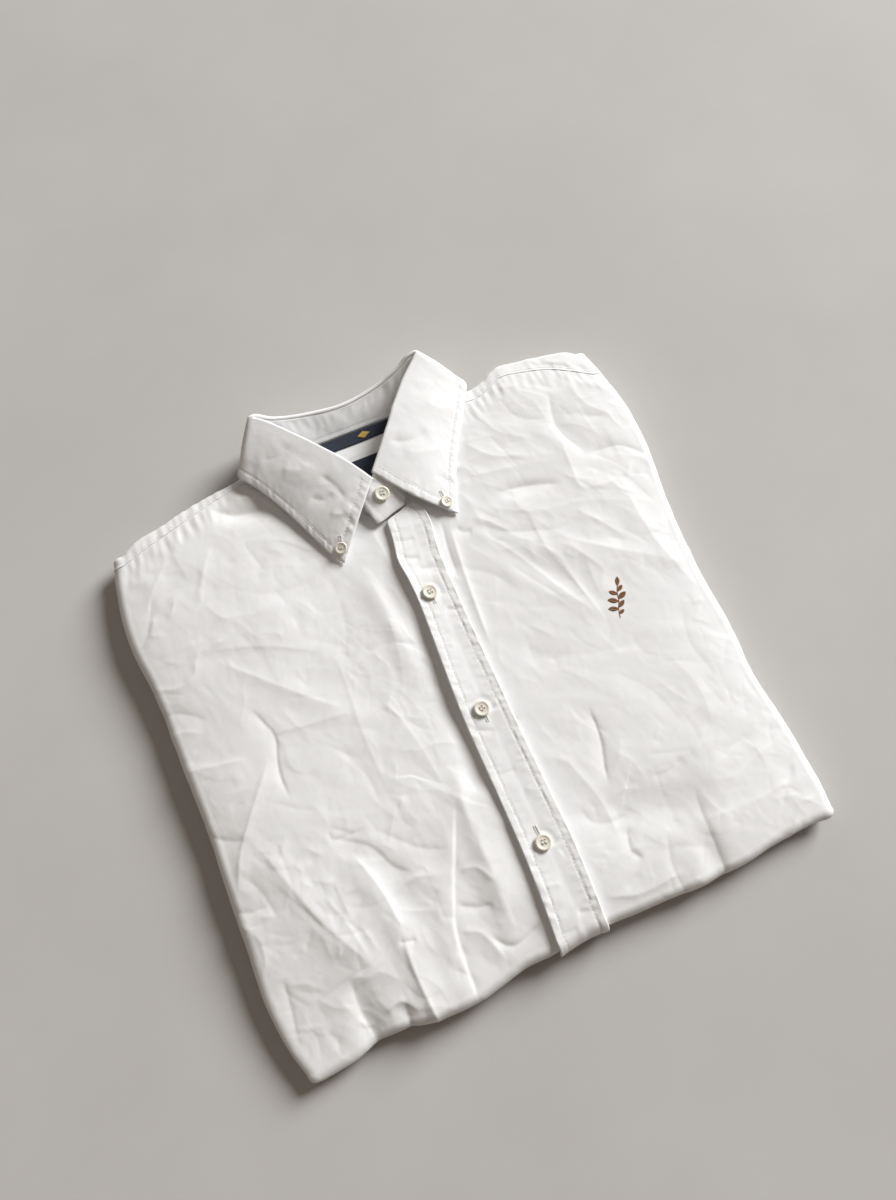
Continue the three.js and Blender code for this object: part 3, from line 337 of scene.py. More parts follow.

# sharp creases, each placed one by one: name: (points, height, width on the left of its direction,
# width on its right, and for a rounder crest the rounding)
RIGHT_FRONT_CREASES = {
    "arc": ([(-160, 70), (-120, 56), (-81, 34)], 0.5, 7, 2.5),
    "main": ([(-158, 63), (-118, 22), (-81, -13)], 0.6, 3, 7),
    "main_back": ([(-79, -13), (-108, -10), (-138, -5)], 0.5, 2.5, 6),
    "dark": ([(-146, 20), (-140.6, 7), (-135.8, -8), (-139.5, -22), (-142, -36), (-141, -56)],
             -0.8, 1.2, 2.6),
    "ridge": ([(-143, -18), (-172, -55), (-185, -73), (-197, -100)], 0.8, 5, 2),
    "side": ([(-206, -6), (-182, -10), (-157, -15)], 0.6, 3, 5),
    "cross": ([(-127, -87), (-104, -103), (-94, -122), (-80, -133)], -0.7, 2, 6),
    "cross_b": ([(-103, -138), (-84, -133), (-66, -141)], 0.6, 2.2, 5),
    "cross_c": ([(-98, -92), (-75, -116), (-53, -127)], -0.6, 2.5, 7),
    "fine_a": ([(-124, -80), (-110, -92)], -0.5, 2, 3),
    "fine_b": ([(-122, -77), (-125, -89), (-101, -91)], -0.6, 2, 3),
    "fine_c": ([(-128, -87), (-146, -98)], -0.4, 2, 3),
    "bright": ([(-118, -100), (-111, -118), (-106, -139), (-104, -164)], 0.8, 2.2, 3.2),
    "bulge": ([(-105, -163), (-107, -188), (-104, -232)], 1.3, 3.0, 3.4),
    "knot": ([(-110, -167), (-98, -170)], -1.0, 2, 2),
    "long": ([(-177, -63), (-169, -83), (-152, -132), (-140, -155), (-126, -181)], 0.75, 9, 3.2),
    "long_shadow": ([(-176, -94), (-161, -120), (-150, -141), (-142, -156)], -0.3, 2.5, 5),
    "second": ([(-145, -116), (-136, -142), (-131, -169)], 0.6, 2.5, 4.5),
    "seam_line": ([(-176, -181), (-147, -174), (-128, -171), (-105, -161)], -0.35, 1.2, 2.2),
    "arch": ([(-143, -181), (-128, -178), (-116, -191)], 0.45, 3, 5),
    "notch": ([(-146, -172), (-148, -194), (-143, -228)], -1.0, 9, 3.6),
    "mouth": ([(-120, -199), (-122, -216), (-121, -234)], -1.8, 4, 6),
    "mouth_lip": ([(-135, -203), (-122, -200), (-112, -212)], 1.0, 4, 3),
    "low_a": ([(-187, -155), (-189, -177), (-192, -196)], -0.7, 3, 4),
    "low_b": ([(-161, -178), (-152, -197), (-144, -220)], 0.5, 6, 5),
    "step": ([(-39, -94), (-53, -126), (-67, -158), (-75, -182), (-78, -232)], 0.15, 1.2, 9),
    "wedge": ([(-37, -95), (-51, -126), (-65, -157), (-73, -182), (-76, -232)], -0.95, 11, 1.1),
    "tongue": ([(-26, -76), (-35, -98), (-36, -125), (-36, -148), (-37, -172), (-38, -192)],
               2.9, 11, 13, 1.8),
    "wedge_a": ([(-66, -160), (-55, -167), (-42, -170)], -0.9, 2.5, 5),
    "wedge_b": ([(-57, -141), (-44, -144), (-36, -158)], 0.7, 3, 4),
    "wedge_c": ([(-54, -186), (-42, -199), (-18, -192)], -1.4, 3, 5),
    "wedge_d": ([(-74, -176), (-58, -183), (-50, -206)], 0.9, 4, 5),
    "collar_dent": ([(-122, 176), (-105, 162), (-78, 158)], -1.3, 5, 4),
    "collar_dent_b": ([(-112, 182), (-94, 172), (-80, 170)], 0.7, 4, 4),
    "a": ([(-107, 139), (-103, 122), (-99, 108)], -0.5, 5, 3),
    "b": ([(-128, 147), (-140, 129), (-154, 106)], 0.6, 4, 8),
    "c": ([(-162, 149), (-176, 133), (-191, 114)], 0.7, 5, 7),
    "d": ([(-180, 128), (-196, 96), (-214, 84)], -0.6, 4, 5),
    "e": ([(-205, 60), (-186, 52), (-172, 56)], 0.6, 3, 5),
    "f": ([(-212, 40), (-190, 34), (-174, 20)], -0.6, 3, 5),
    "g": ([(-212, 18), (-196, 22), (-180, 14)], 0.5, 3, 4),
    "h": ([(-206, -48), (-190, -61), (-175, -67)], -0.7, 3, 4),
    "i": ([(-206, -104), (-190, -111), (-179, -111)], -0.7, 4, 3),
    "j": ([(-204, -110), (-192, -130), (-197, -152)], 0.7, 5, 4),
    "k": ([(-190, -84), (-181, -101), (-176, -124)], -0.6, 4, 4),
    "rad": ([(-18, 120), (-15, 96), (-13, 60), (-12, 15)], 0.55, 3, 6),
    "rad_b": ([(-34, 88), (-30, 50), (-34, 12), (-44, -24)], 0.5, 8, 5),
    "rad_c": ([(-58, 92), (-60, 52), (-72, 22)], -0.45, 5, 8),
    "cor": ([(-76, 34), (-77, -5), (-79, -28), (-78, -76)], 0.4, 6, 2.5),
    "cor_b": ([(-58, -10), (-48, -46), (-42, -90)], 0.45, 3, 7),
    "cor_c": ([(-100, -30), (-88, -58), (-86, -84)], -0.5, 5, 8),
    "chest": ([(-132, 112), (-104, 92), (-62, 88)], -0.4, 5, 8),
    "chest_b": ([(-150, 92), (-120, 82), (-92, 84)], 0.5, 6, 9)}
LEFT_FRONT_CREASES = {
    "slot": ([(82, 99), (106, 95), (131, 86)], -1.1, 4, 3),
    "shoulder": ([(156, 164), (148, 130), (160, 101)], -0.9, 5, 3.5),
    "shoulder_b": ([(158, 101), (186, 98), (204, 80)], -0.9, 5, 4),
    "shoulder_c": ([(146, 126), (143, 96), (144, 76), (178, 72)], 0.7, 4, 6),
    "lip": ([(57, 88), (68, 78), (80, 63)], 0.8, 4, 4),
    "up": ([(129, 64), (144, 45), (154, 29)], 0.7, 6, 4),
    "drop": ([(97, 80), (97, 46), (103, 30), (108, -10)], 0.6, 7, 3.5),
    "fan_a": ([(88, 90), (111, 49), (134, 29), (185, -6)], 0.6, 6, 9),
    "fan_b": ([(46, 88), (70, 55), (92, 12), (111, -22)], 0.7, 4, 8),
    "fan_c": ([(66, 44), (78, 24), (92, 2)], -0.65, 7, 5),
    "fan_d": ([(25, 60), (49, 43), (64, 24)], -0.6, 6, 8),
    "fan_e": ([(62, 96), (100, 74), (140, 66), (186, 46)], 0.5, 5, 9),
    "fan_f": ([(90, 58), (98, 38), (106, 6), (113, -28)], 0.7, 4, 8),
    "fan_g": ([(52, 86), (77, 66), (118, 52)], -0.6, 4, 6),
    "sharp": ([(72, -74), (70, -99), (64, -118), (61, -131)], -1.0, 1.6, 3.2),
    "sharp_b": ([(61, -131), (74, -118), (84, -104)], 0.5, 5, 6),
    "j": ([(90, -137), (103, -139), (117, -133)], -0.7, 3, 5),
    "k": ([(100, -177), (150, -180), (188, -176)], 0.7, 5, 9),
    "l": ([(114, -153), (110, -178), (107, -230)], -0.9, 4, 6),
    "parallel": ([(39, 92), (34, 54), (31, 25), (28, -12)], 1.2, 3.2, 4.5),
    "parallel_slot": ([(35, 97), (30, 70), (28, 46)], -0.9, 2.5, 4),
    "dent": ([(42, 86), (46, 80), (53, 77)], -0.8, 2.2, 3),
    "notch": ([(17, -52), (20, -60), (25, -68)], -0.7, 2, 2.5),
    "m": ([(39, -96), (51, -137), (52, -170)], 0.7, 5, 8),
    "n": ([(172, 73), (174, 20), (187, -33)], 0.7, 5, 7),
    "hollow": ([(35, -133), (40, -149), (56, -154), (68, -148)], -1.1, 5, 8, 0.6),
    "hollow_b": ([(60, -160), (55, -176), (62, -184)], -1.1, 3, 5),
    "hem": ([(24, -195), (36, -199), (52, -203), (84, -201)], 1.0, 8, 3),
    "low_a": ([(184, -150), (150, -158), (118, -178)], 0.6, 6, 5),
    "low_b": ([(190, -120), (160, -138), (132, -146)], -0.6, 5, 7),
    "low_c": ([(190, -192), (170, -200), (150, -226)], 0.7, 5, 5),
    "low_d": ([(202, -160), (180, -172), (160, -196)], -0.6, 5, 5),
    "low_e": ([(84, -172), (76, -196), (78, -226)], -0.7, 5, 5),
    "mid_a": ([(36, -6), (62, -30), (98, -44), (140, -50)], -0.45, 8, 10),
    "mid_b": ([(140, -62), (150, -96), (144, -128)], 0.5, 8, 9),
    "mid_c": ([(98, -60), (118, -84), (128, -116)], -0.4, 7, 9),
    "mid_d": ([(170, -30), (160, -62), (166, -96)], -0.45, 5, 8),
    "mid_e": ([(150, 24), (128, 10), (118, -6)], 0.4, 4, 5),
    "top_a": ([(92, 172), (104, 146), (128, 128)], 0.6, 5, 7),
    "top_b": ([(116, 178), (124, 150), (146, 140)], -0.6, 5, 6),
    "top_c": ([(172, 168), (178, 140), (196, 122)], 0.6, 5, 6),
    "top_d": ([(74, 150), (92, 128), (118, 118)], 0.7, 5, 5),
    "top_e": ([(66, 120), (86, 116), (112, 112)], 0.6, 4, 5),
    "edge_a": ([(212, 60), (196, 40), (188, 20)], -0.6, 4, 5),
    "edge_b": ([(206, 10), (190, -4), (178, -8)], 0.5, 4, 5),
    "edge_c": ([(204, -60), (186, -72), (172, -92)], -0.5, 5, 6)}
# small wrinkles: [x from, x to, y from, y to, how many, lengths, mean angle, spread, steepness,
# width]
RIGHT_FRONT_SMALL = [
    [-208, -165, -150, 130, 60, (8, 30), 0, 38, (0.08, 0.22), (0.6, 2.2)],
    [-200, -60, 60, 175, 60, (12, 46), -30, 42, (0.04, 0.15), (0.7, 3.2)],
    [-160, -20, -90, 70, 80, (12, 50), -62, 48, (0.04, 0.14), (0.7, 3.6)],
    [-195, -70, -225, -80, 120, (8, 40), -62, 50, (0.06, 0.22), (0.6, 3)],
    [-80, -14, -215, 60, 60, (8, 34), -78, 42, (0.05, 0.18), (0.6, 3)]]
LEFT_FRONT_SMALL = [
    [30, 200, 20, 180, 130, (12, 56), -40, 30, (0.05, 0.16), (0.7, 3.4)],
    [28, 190, -120, 30, 70, (12, 50), -50, 42, (0.03, 0.12), (0.8, 4)],
    [30, 200, -225, -110, 90, (10, 46), 12, 45, (0.05, 0.18), (0.7, 3.4)],
    [172, 212, -200, 150, 50, (8, 26), -10, 42, (0.06, 0.2), (0.6, 2.4)]]


# ---------------------------------------------------------------- numbers
def smooth(v, a, b):
    t = np.clip((v - a) / (b - a), 0, 1)
    return t * t * (3 - 2 * t)


def at(rows, k, c):
    rows = np.asarray(rows, float)
    keys, column, last = rows[:, 0], rows[:, c], len(rows) - 1
    key = np.clip(k, keys[0], keys[-1])
    i = np.clip(np.searchsorted(keys, key, side="left") - 1, 0, last - 1)
    low, high = np.maximum(np.arange(last + 1) - 1, 0), np.minimum(np.arange(last + 1) + 1, last)
    slope = (column[high] - column[low]) / (keys[high] - keys[low])
    w = keys[i + 1] - keys[i]
    t = (key - keys[i]) / w
    t2, t3 = t * t, t * t * t
    return ((2 * t3 - 3 * t2 + 1) * column[i] + (t3 - 2 * t2 + t) * w * slope[i]
            + (-2 * t3 + 3 * t2) * column[i + 1] + (t3 - t2) * w * slope[i + 1])


def station_at(rows, s):
    rows = np.asarray(rows, float)
    last = len(rows) - 1
    i = int(min(max(math.floor(s), 0), last - 1))
    t = s - i
    a, b, d, e = (rows[min(max(i + n, 0), last)] for n in (-1, 0, 1, 2))
    return b + 0.5 * t * (d - a + t * (2 * a - 5 * b + 4 * d - e + t * (3 * (b - d) + e - a)))


def seam_at(x):
    return at(ENDS, x, 3)


def folds_at(folds, x, y, spread=0.0, only_down=False):
    total = np.zeros(np.shape(x))
    for line in folds.values():
        best = np.full(np.shape(x), np.inf)
        value = np.zeros(np.shape(x))
        for p, q in zip(line, line[1:]):
            dx, dy = q[0] - p[0], q[1] - p[1]
            t = np.clip(((x - p[0]) * dx + (y - p[1]) * dy) / (dx * dx + dy * dy), 0, 1)
            d = np.hypot(x - p[0] - dx * t, y - p[1] - dy * t)
            width = p[3] + (q[3] - p[3]) * t + spread
            new = (p[2] + (q[2] - p[2]) * t) * np.exp(-((d / width) ** 2))
            nearer = d < best
            best, value = np.where(nearer, d, best), np.where(nearer, new, value)
        total += np.minimum(value, 0) if only_down else value
    return total


def pile_top(x, y):
    side = np.minimum(x - at(SIDES, y, 1), at(SIDES, y, 2) - x)
    low = y - at(ENDS, x, 1)
    high = np.maximum(at(ENDS, x, 2) - y, 0)

    def rise(d, w):
        return 1 - np.exp(-np.maximum(d, 0) / w)
    f = rise(side, 26) * rise(low, 30) * rise(high, 16)
    corner = 4.5 * np.exp(-(((x + 185) / 50) ** 2) - ((y + 205) / 70) ** 2)
    corner2 = 2 * np.exp(-(((x - 190) / 50) ** 2) - ((y + 205) / 50) ** 2)
    return PILE_RIM + (PILE_MIDDLE - PILE_RIM) * f - corner - corner2


# the share of a broad fold's height that the cloth keeps, where that isn't all of it
SOFTEN = {"dark_crease": 0.15, "collar_slot": 0.4, "low_crease": 0.25, "shoulder_y": 0.35,
          "shoulder_ridge": 0.35, "long_ridge": 0.35, "bright_ridge": 0.4, "bright_hollow": 0.6,
          "star_arm": 0.3, "upper_line": 0.3, "side_ridge": 0.3, "spray_a": 0.35, "spray_b": 0.35,
          "spray_c": 0.35, "slot_lip": 0.35, "cross": 0.4, "collar_dent": 0.7, "side_line": 0.4,
          "step_hollow": 0.25, "step_edge": 0.2, "corner_hollow": 0.6}
RIGHT_SOFT, LEFT_SOFT = (
    {name: [[x, y, z * SOFTEN.get(name, 1.0), w] for x, y, z, w in line]
     for name, line in folds.items()} for folds in (RIGHT_FRONT_FOLDS, LEFT_FRONT_FOLDS))


def front_top(x, y):
    right, left = folds_at(RIGHT_SOFT, x, y), folds_at(LEFT_SOFT, x, y)
    free = smooth(np.abs(x - 5), 20, 34)        # no ridge lifts the placket
    w = smooth(x, RIGHT_FRONT_EDGE, LEFT_FRONT_EDGE)
    rise = right + (left - right) * w
    return pile_top(x, y) + np.minimum(rise, 0) + np.maximum(rise, 0) * free


def neck_drop(x):
    return NECK_DROP * (1 - smooth(np.abs(x), 54, 68))


def yoke_top(x, y):
    return pile_top(x, y) - neck_drop(x)


def side_inset(sign, y):
    return at(SIDES, y, 1) + SIDE_TURN if sign < 0 else at(SIDES, y, 2) - SIDE_TURN


def low_inset(x):
    return at(ENDS, x, 1) + BOTTOM_TURN


def high_inset(x):
    return at(ENDS, x, 2) - TOP_TURN


def plan(u, v, x0, x1, y0, y1):
    """Places in plan for shares across and along a piece whose edges curve."""
    x = x0(np.zeros_like(u)) + (x1(np.zeros_like(u)) - x0(np.zeros_like(u))) * u
    y = np.zeros_like(u)
    for _ in range(14):
        y = y0(x) + (y1(x) - y0(x)) * v
        x = x0(y) + (x1(y) - x0(y)) * u
    return x, y


def pile_plan(u, v):
    return plan(u, v, lambda w: side_inset(-1, w), lambda w: side_inset(1, w), low_inset,
                high_inset)


def turned(x, y, top, p, q, side_sign, end_sign, out=0.0):
    """Points of a sheet that turns under by the shares p at its side and q at its end."""
    m = np.maximum(p, q)
    safe = np.maximum(m, 1e-9)
    phi = m * TURN_END
    psi = np.where(p >= q, (q / safe) * 0.25, 0.5 - (p / safe) * 0.25) * math.pi
    w = psi / (math.pi / 2)
    end_turn, end_foot = (BOTTOM_TURN, BOTTOM_FOOT) if end_sign < 0 else (TOP_TURN, TOP_FOOT)
    foot = SIDE_FOOT + (end_foot - SIDE_FOOT) * w
    half = (top - foot) / 2
    reach = np.sin(phi)
    corner = 1 + 0.12 * np.sin(2 * psi) ** 2
    flat = m <= 0
    return np.stack([
        np.where(flat, x, x + side_sign * (SIDE_TURN + out) * reach * np.cos(psi) * corner),
        np.where(flat, y, y + end_sign * (end_turn + out) * reach * np.sin(psi) * corner),
        np.where(flat, top + out, foot + half + (half + out) * np.cos(phi))], axis=-1)


def axis(flat, turn_start=0, turn_end=0, reach=1.0):
    """Shares along a flat stretch of points, and shares round the turns at its two ends."""
    share = np.concatenate([np.zeros(turn_start), np.linspace(0, 1, flat), np.ones(turn_end)])
    turn = np.concatenate([np.linspace(reach, 0, turn_start + 1)[:-1], np.zeros(flat),
                           np.linspace(0, 1, turn_end + 1)[1:]])
    return share, turn


def grids(across, along):
    """The shares of two axes, then their turns, each spread over the grid."""
    return (*np.meshgrid(across[0], along[0], indexing="ij"),
            *np.meshgrid(across[1], along[1], indexing="ij"))


def unit(v):
    return v / max(np.linalg.norm(v), 1e-9)


def run_along(points):
    """The distance along a line at each of its points."""
    return np.concatenate([[0], np.cumsum(np.linalg.norm(np.diff(points, axis=0), axis=1))])


def grid_normals(grid, up=True):
    v = np.empty_like(grid)
    w = np.empty_like(grid)
    v[1:-1], v[0], v[-1] = grid[2:] - grid[:-2], grid[1] - grid[0], grid[-1] - grid[-2]
    w[:, 1:-1] = grid[:, 2:] - grid[:, :-2]
    w[:, 0], w[:, -1] = grid[:, 1] - grid[:, 0], grid[:, -1] - grid[:, -2]
    n = np.cross(v, w)
    n /= np.maximum(np.linalg.norm(n, axis=-1, keepdims=True), 1e-12)
    if up and n[..., 2].sum() < 0:
        n = -n
    return n


def noise(x, y, scale, seed):
    """Smooth gradient noise of about -1 to 1, whose bumps are about scale across."""
    u, v = np.asarray(x) / scale + 500.0, np.asarray(y) / scale + 500.0
    i, j = np.floor(u).astype(np.int64), np.floor(v).astype(np.int64)
    fu, fv = u - i, v - j

    def slope(a, b):
        h = (a * 374761393 + b * 668265263 + seed * 1442695041) & 0xFFFFFFFF
        h = ((h ^ (h >> 13)) * 1274126177) & 0xFFFFFFFF
        angle = (h & 0xFFFF) / 65536.0 * 2 * math.pi
        return np.cos(angle), np.sin(angle)

    def part(a, b):
        gx, gy = slope(i + a, j + b)
        return gx * (fu - a) + gy * (fv - b)
    su, sv = fu ** 3 * (fu * (fu * 6 - 15) + 10), fv ** 3 * (fv * (fv * 6 - 15) + 10)
    low = part(0, 0) + (part(1, 0) - part(0, 0)) * su
    high = part(0, 1) + (part(1, 1) - part(0, 1)) * su
    return (low + (high - low) * sv) * 1.6


def bent(points, step=4.0):
    """A smooth line through the points, with a share from 0 to 1 along it."""
    points = np.asarray(points, float)
    made = []
    for k in range(len(points) - 1):
        n = max(2, int(np.linalg.norm(points[k + 1] - points[k]) / step))
        made += [station_at(points, k + m / n) for m in range(n)]
    made.append(points[-1])
    made = np.array(made)
    run = run_along(made)
    return made, run / run[-1]


def crease(field, u, v, points, height, left, right, rounding=0.28, taper=0.22):
    """Adds a crisp ridge, or a trough where height is negative, that dies away at its ends."""
    line, shares = bent(points)
    reach = 3.4 * max(left, right)
    low, high = line.min(axis=0) - reach, line.max(axis=0) + reach
    inside = (u > low[0]) & (u < high[0]) & (v > low[1]) & (v < high[1])
    if not inside.any():
        return
    x, y = u[inside], v[inside]
    best = np.full(x.shape, np.inf)
    side = np.zeros(x.shape)
    along = np.zeros(x.shape)
    for k in range(len(line) - 1):
        p, q = line[k], line[k + 1]
        dx, dy = q - p
        t = np.clip(((x - p[0]) * dx + (y - p[1]) * dy) / (dx * dx + dy * dy), 0, 1)
        ex, ey = x - p[0] - dx * t, y - p[1] - dy * t
        d = ex * ex + ey * ey
        nearer = d < best
        best = np.where(nearer, d, best)
        side = np.where(nearer, dx * ey - dy * ex, side)
        along = np.where(nearer, shares[k] + (shares[k + 1] - shares[k]) * t, along)
    d = np.sqrt(best + rounding ** 2) - rounding
    blend = 0.5 + 0.5 * np.tanh(side / 4.0)
    width = right + (left - right) * blend
    ends = smooth(along, 0, taper) * smooth(1 - along, 0, taper)
    field[inside] += height * ends * np.exp(-(d / width))


def facets(u, v, size, stretch, direction, seed):
    """Flat facets of about -1 to 1 that meet in straight creases, longer along the direction."""
    c, w = math.cos(math.radians(direction)), math.sin(math.radians(direction))
    a, b = (u * c + v * w) / (size * stretch), (v * c - u * w) / size
    i0, i1, j0, j1 = (int(math.floor(f))
                      for f in (a.min() - 2, a.max() + 3, b.min() - 2, b.max() + 3))
    rng = np.random.default_rng(seed)
    shape = (i1 - i0 + 1, j1 - j0 + 1)
    gi, gj = np.meshgrid(np.arange(i0, i1 + 1), np.arange(j0, j1 + 1), indexing="ij")
    px, py = gi + rng.uniform(-0.38, 0.38, shape), gj + rng.uniform(-0.38, 0.38, shape)
    height = rng.uniform(-1, 1, shape)
    flip = rng.random(shape) < 0.5
    field = np.zeros(u.shape)
    for n in range(shape[0] - 1):
        for m in range(shape[1] - 1):
            ends = ([(n, m), (n + 1, m), (n + 1, m + 1), (n, m + 1)] if flip[n, m]
                    else [(n + 1, m), (n + 1, m + 1), (n, m + 1), (n, m)])
            for tri in ((ends[0], ends[1], ends[2]), (ends[0], ends[2], ends[3])):
                (x0, y0), (x1, y1), (x2, y2) = ((px[t], py[t]) for t in tri)
                area = (x1 - x0) * (y2 - y0) - (x2 - x0) * (y1 - y0)
                near = ((a >= min(x0, x1, x2)) & (a <= max(x0, x1, x2))
                        & (b >= min(y0, y1, y2)) & (b <= max(y0, y1, y2)))
                if not near.any():
                    continue
                x, y = a[near], b[near]
                w1 = ((x - x0) * (y2 - y0) - (x2 - x0) * (y - y0)) / area
                w2 = ((x1 - x0) * (y - y0) - (x - x0) * (y1 - y0)) / area
                w0 = 1 - w1 - w2
                held = (w0 >= -1e-6) & (w1 >= -1e-6) & (w2 >= -1e-6)
                value = w0 * height[tri[0]] + w1 * height[tri[1]] + w2 * height[tri[2]]
                part = field[near]
                part[held] = value[held]
                field[near] = part
    return field


def small_creases(field, u, v, rows, seed):
    """Short uneven wrinkles strewn over the given places."""
    rng = np.random.default_rng(seed)
    for x0, x1, y0, y1, count, lengths, mean, spread, steepness, widths in rows:
        for _ in range(count):
            x, y = rng.uniform(x0, x1), rng.uniform(y0, y1)
            long = rng.uniform(*lengths)
            angle = math.radians(mean + rng.normal(0, spread))
            bend = math.radians(rng.normal(0, 22))
            a = np.array([math.cos(angle), math.sin(angle)]) * long / 2
            b = np.array([math.cos(angle + bend), math.sin(angle + bend)]) * long / 2
            narrow = rng.uniform(*widths)
            height = rng.uniform(*steepness) * narrow ** 0.85
            height *= 1 if rng.random() < 0.55 else -1
            wide = narrow * rng.uniform(1.2, 2.6)
            left, right = (narrow, wide) if rng.random() < 0.5 else (wide, narrow)
            middle = np.array([x, y])
            crease(field, u, v, [middle - a, middle, middle + b], height, left, right,
                   rounding=0.15, taper=0.35)


# ---------------------------------------------------------------- meshes
def bare_object(name, points, faces):
    mesh = bpy.data.meshes.new(name)
    mesh.from_pydata((np.asarray(points, float) * MM).tolist(), [],
                     [list(map(int, f)) for f in faces])
    thing = bpy.data.objects.new(name, mesh)
    scene.collection.objects.link(thing)
    return thing


def make_object(name, points, faces, mat, node=None):
    piece = bare_object(name, points, faces)
    mesh = piece.data
    mesh.materials.append(mat)
    mesh.polygons.foreach_set("use_smooth", np.ones(len(mesh.polygons), bool))
    mesh.update()
    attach(piece, "root")
    if node:
        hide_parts(node)
    return piece


def grid_faces(ni, nj, start=0):
    i, j = np.meshgrid(np.arange(ni - 1), np.arange(nj - 1), indexing="ij")
    a = (start + i * nj + j).ravel()
    return np.stack([a, a + nj, a + nj + 1, a + 1], axis=1)


def border(ni, nj):
    return ([(i, 0) for i in range(ni - 1)] + [(ni - 1, j) for j in range(nj - 1)]
            + [(i, nj - 1) for i in range(ni - 1, 0, -1)] + [(0, j) for j in range(nj - 1, 0, -1)])


def volume_of(points, faces):
    total = 0.0
    for f in faces:
        f = np.asarray(f)
        for k in range(1, f.shape[1] - 1):
            a, b, c = points[f[:, 0]], points[f[:, k]], points[f[:, k + 1]]
            total += (a * np.cross(b, c)).sum()
    return total


def shell(name, base, normal, lift, thick, mat, node, k=4, rim=0.4):
    """A closed cloth shell: fine on top, every k-th point underneath, with a rounded rim."""
    ni, nj = lift.shape
    top = base + normal * lift[..., None]
    low = lift.copy()
    for _ in range(k):                       # the underside never shows through a trough
        pad = np.pad(low, 1, mode="edge")
        low = np.minimum.reduce([pad[a:a + ni, b:b + nj] for a in range(3) for b in range(3)])
    ci, cj = np.arange(0, ni, k), np.arange(0, nj, k)
    under = (base + normal * (low - thick)[..., None])[np.ix_(ci, cj)]
    loop = border(ni, nj)
    li, lj = np.array([p[0] for p in loop]), np.array([p[1] for p in loop])
    inner_i, inner_j = np.clip(li, 1, ni - 2), np.clip(lj, 1, nj - 2)
    out = top[li, lj] - top[inner_i, inner_j]
    out /= np.maximum(np.linalg.norm(out, axis=1, keepdims=True), 1e-9)
    middle = top[li, lj] - normal[li, lj] * thick * 0.5 + out * thick * rim
    points = np.concatenate([top.reshape(-1, 3), under.reshape(-1, 3), middle])
    top_ids = li * nj + lj
    mid_ids = ni * nj + len(ci) * len(cj) + np.arange(len(loop))
    under_start = ni * nj
    quads = [grid_faces(ni, nj),
             grid_faces(len(ci), len(cj), under_start)[:, ::-1],
             np.stack([np.roll(top_ids, -1), top_ids, mid_ids, np.roll(mid_ids, -1)], axis=1)]
    coarse_ids = [under_start + a * len(cj) + b for a, b in border(len(ci), len(cj))]
    fans = []
    for c, c_id in enumerate(coarse_ids):
        c_next = coarse_ids[(c + 1) % len(coarse_ids)]
        fine = [mid_ids[(c * k + n) % len(mid_ids)] for n in range(k + 1)]
        for n in range(k):
            fans.append([fine[n + 1], fine[n], c_id if n < k // 2 else c_next])
            if n == k // 2 - 1 or (k == 1 and n == 0):
                fans.append([fine[n + 1], c_id, c_next])
        if k == 1:
            fans = fans[:-2] + [[fine[1], fine[0], c_id], [fine[1], c_id, c_next]]
    fans = np.array(fans)
    if volume_of(points, quads + [fans]) < 0:
        quads = [q[:, ::-1] for q in quads]
        fans = fans[:, ::-1]
    faces = [f for q in quads for f in q.tolist()] + fans.tolist()
    return make_object(name, points, faces, mat, node), top


def fit(n, k=4):
    """A grid count that the underside's step divides."""
    return int(math.ceil((n - 1) / k) * k + 1)


def tube_faces(rings, sides, start=0, capped=True):
    """The faces that join rings of points one after another, and close their ends."""
    faces = []
    for m in range(rings - 1):
        for n in range(sides):
            p, q = start + m * sides + n, start + m * sides + (n + 1) % sides
            faces.append([p, q, q + sides, p + sides])
    if capped:
        faces.append([start + n for n in range(sides)][::-1])
        faces.append([start + (rings - 1) * sides + n for n in range(sides)])
    return faces


class Blobs:
    """Many small stitches joined into one mesh."""
    RINGS = [(0.0, 0.25), (0.10, 0.75), (0.5, 1.0), (0.90, 0.75), (1.0, 0.25)]
    FLAT = 0.75      # a stitch's height as a share of its width

    def __init__(self):
        self.points, self.faces = [], []

    def stitch(self, a, b, up, radius, sides=6, arch=0.0):
        a, b, up = (np.asarray(v, float) for v in (a, b, up))
        size = np.linalg.norm(b - a)
        along = unit(b - a)
        side = unit(np.cross(up, along))
        up = np.cross(along, side)
        self.faces += tube_faces(len(self.RINGS), sides, len(self.points))
        for t, r in self.RINGS:
            c = a + along * size * t + up * arch * math.sin(math.pi * t)
            for n in range(sides):
                w = 2 * math.pi * n / sides
                self.points.append(c + side * math.cos(w) * radius * r
                                   + up * math.sin(w) * radius * r * self.FLAT)

    def make(self, name, mat, slot):
        make_object(name, self.points, self.faces, mat)


def sample(grid, i, j):
    """A grid's value at fractional places."""
    i, j = np.clip(i, 0, grid.shape[0] - 1.001), np.clip(j, 0, grid.shape[1] - 1.001)
    a, b = int(i), int(j)
    u, v = i - a, j - b
    return ((grid[a, b] * (1 - u) + grid[a + 1, b] * u) * (1 - v)
            + (grid[a, b + 1] * (1 - u) + grid[a + 1, b + 1] * u) * v)


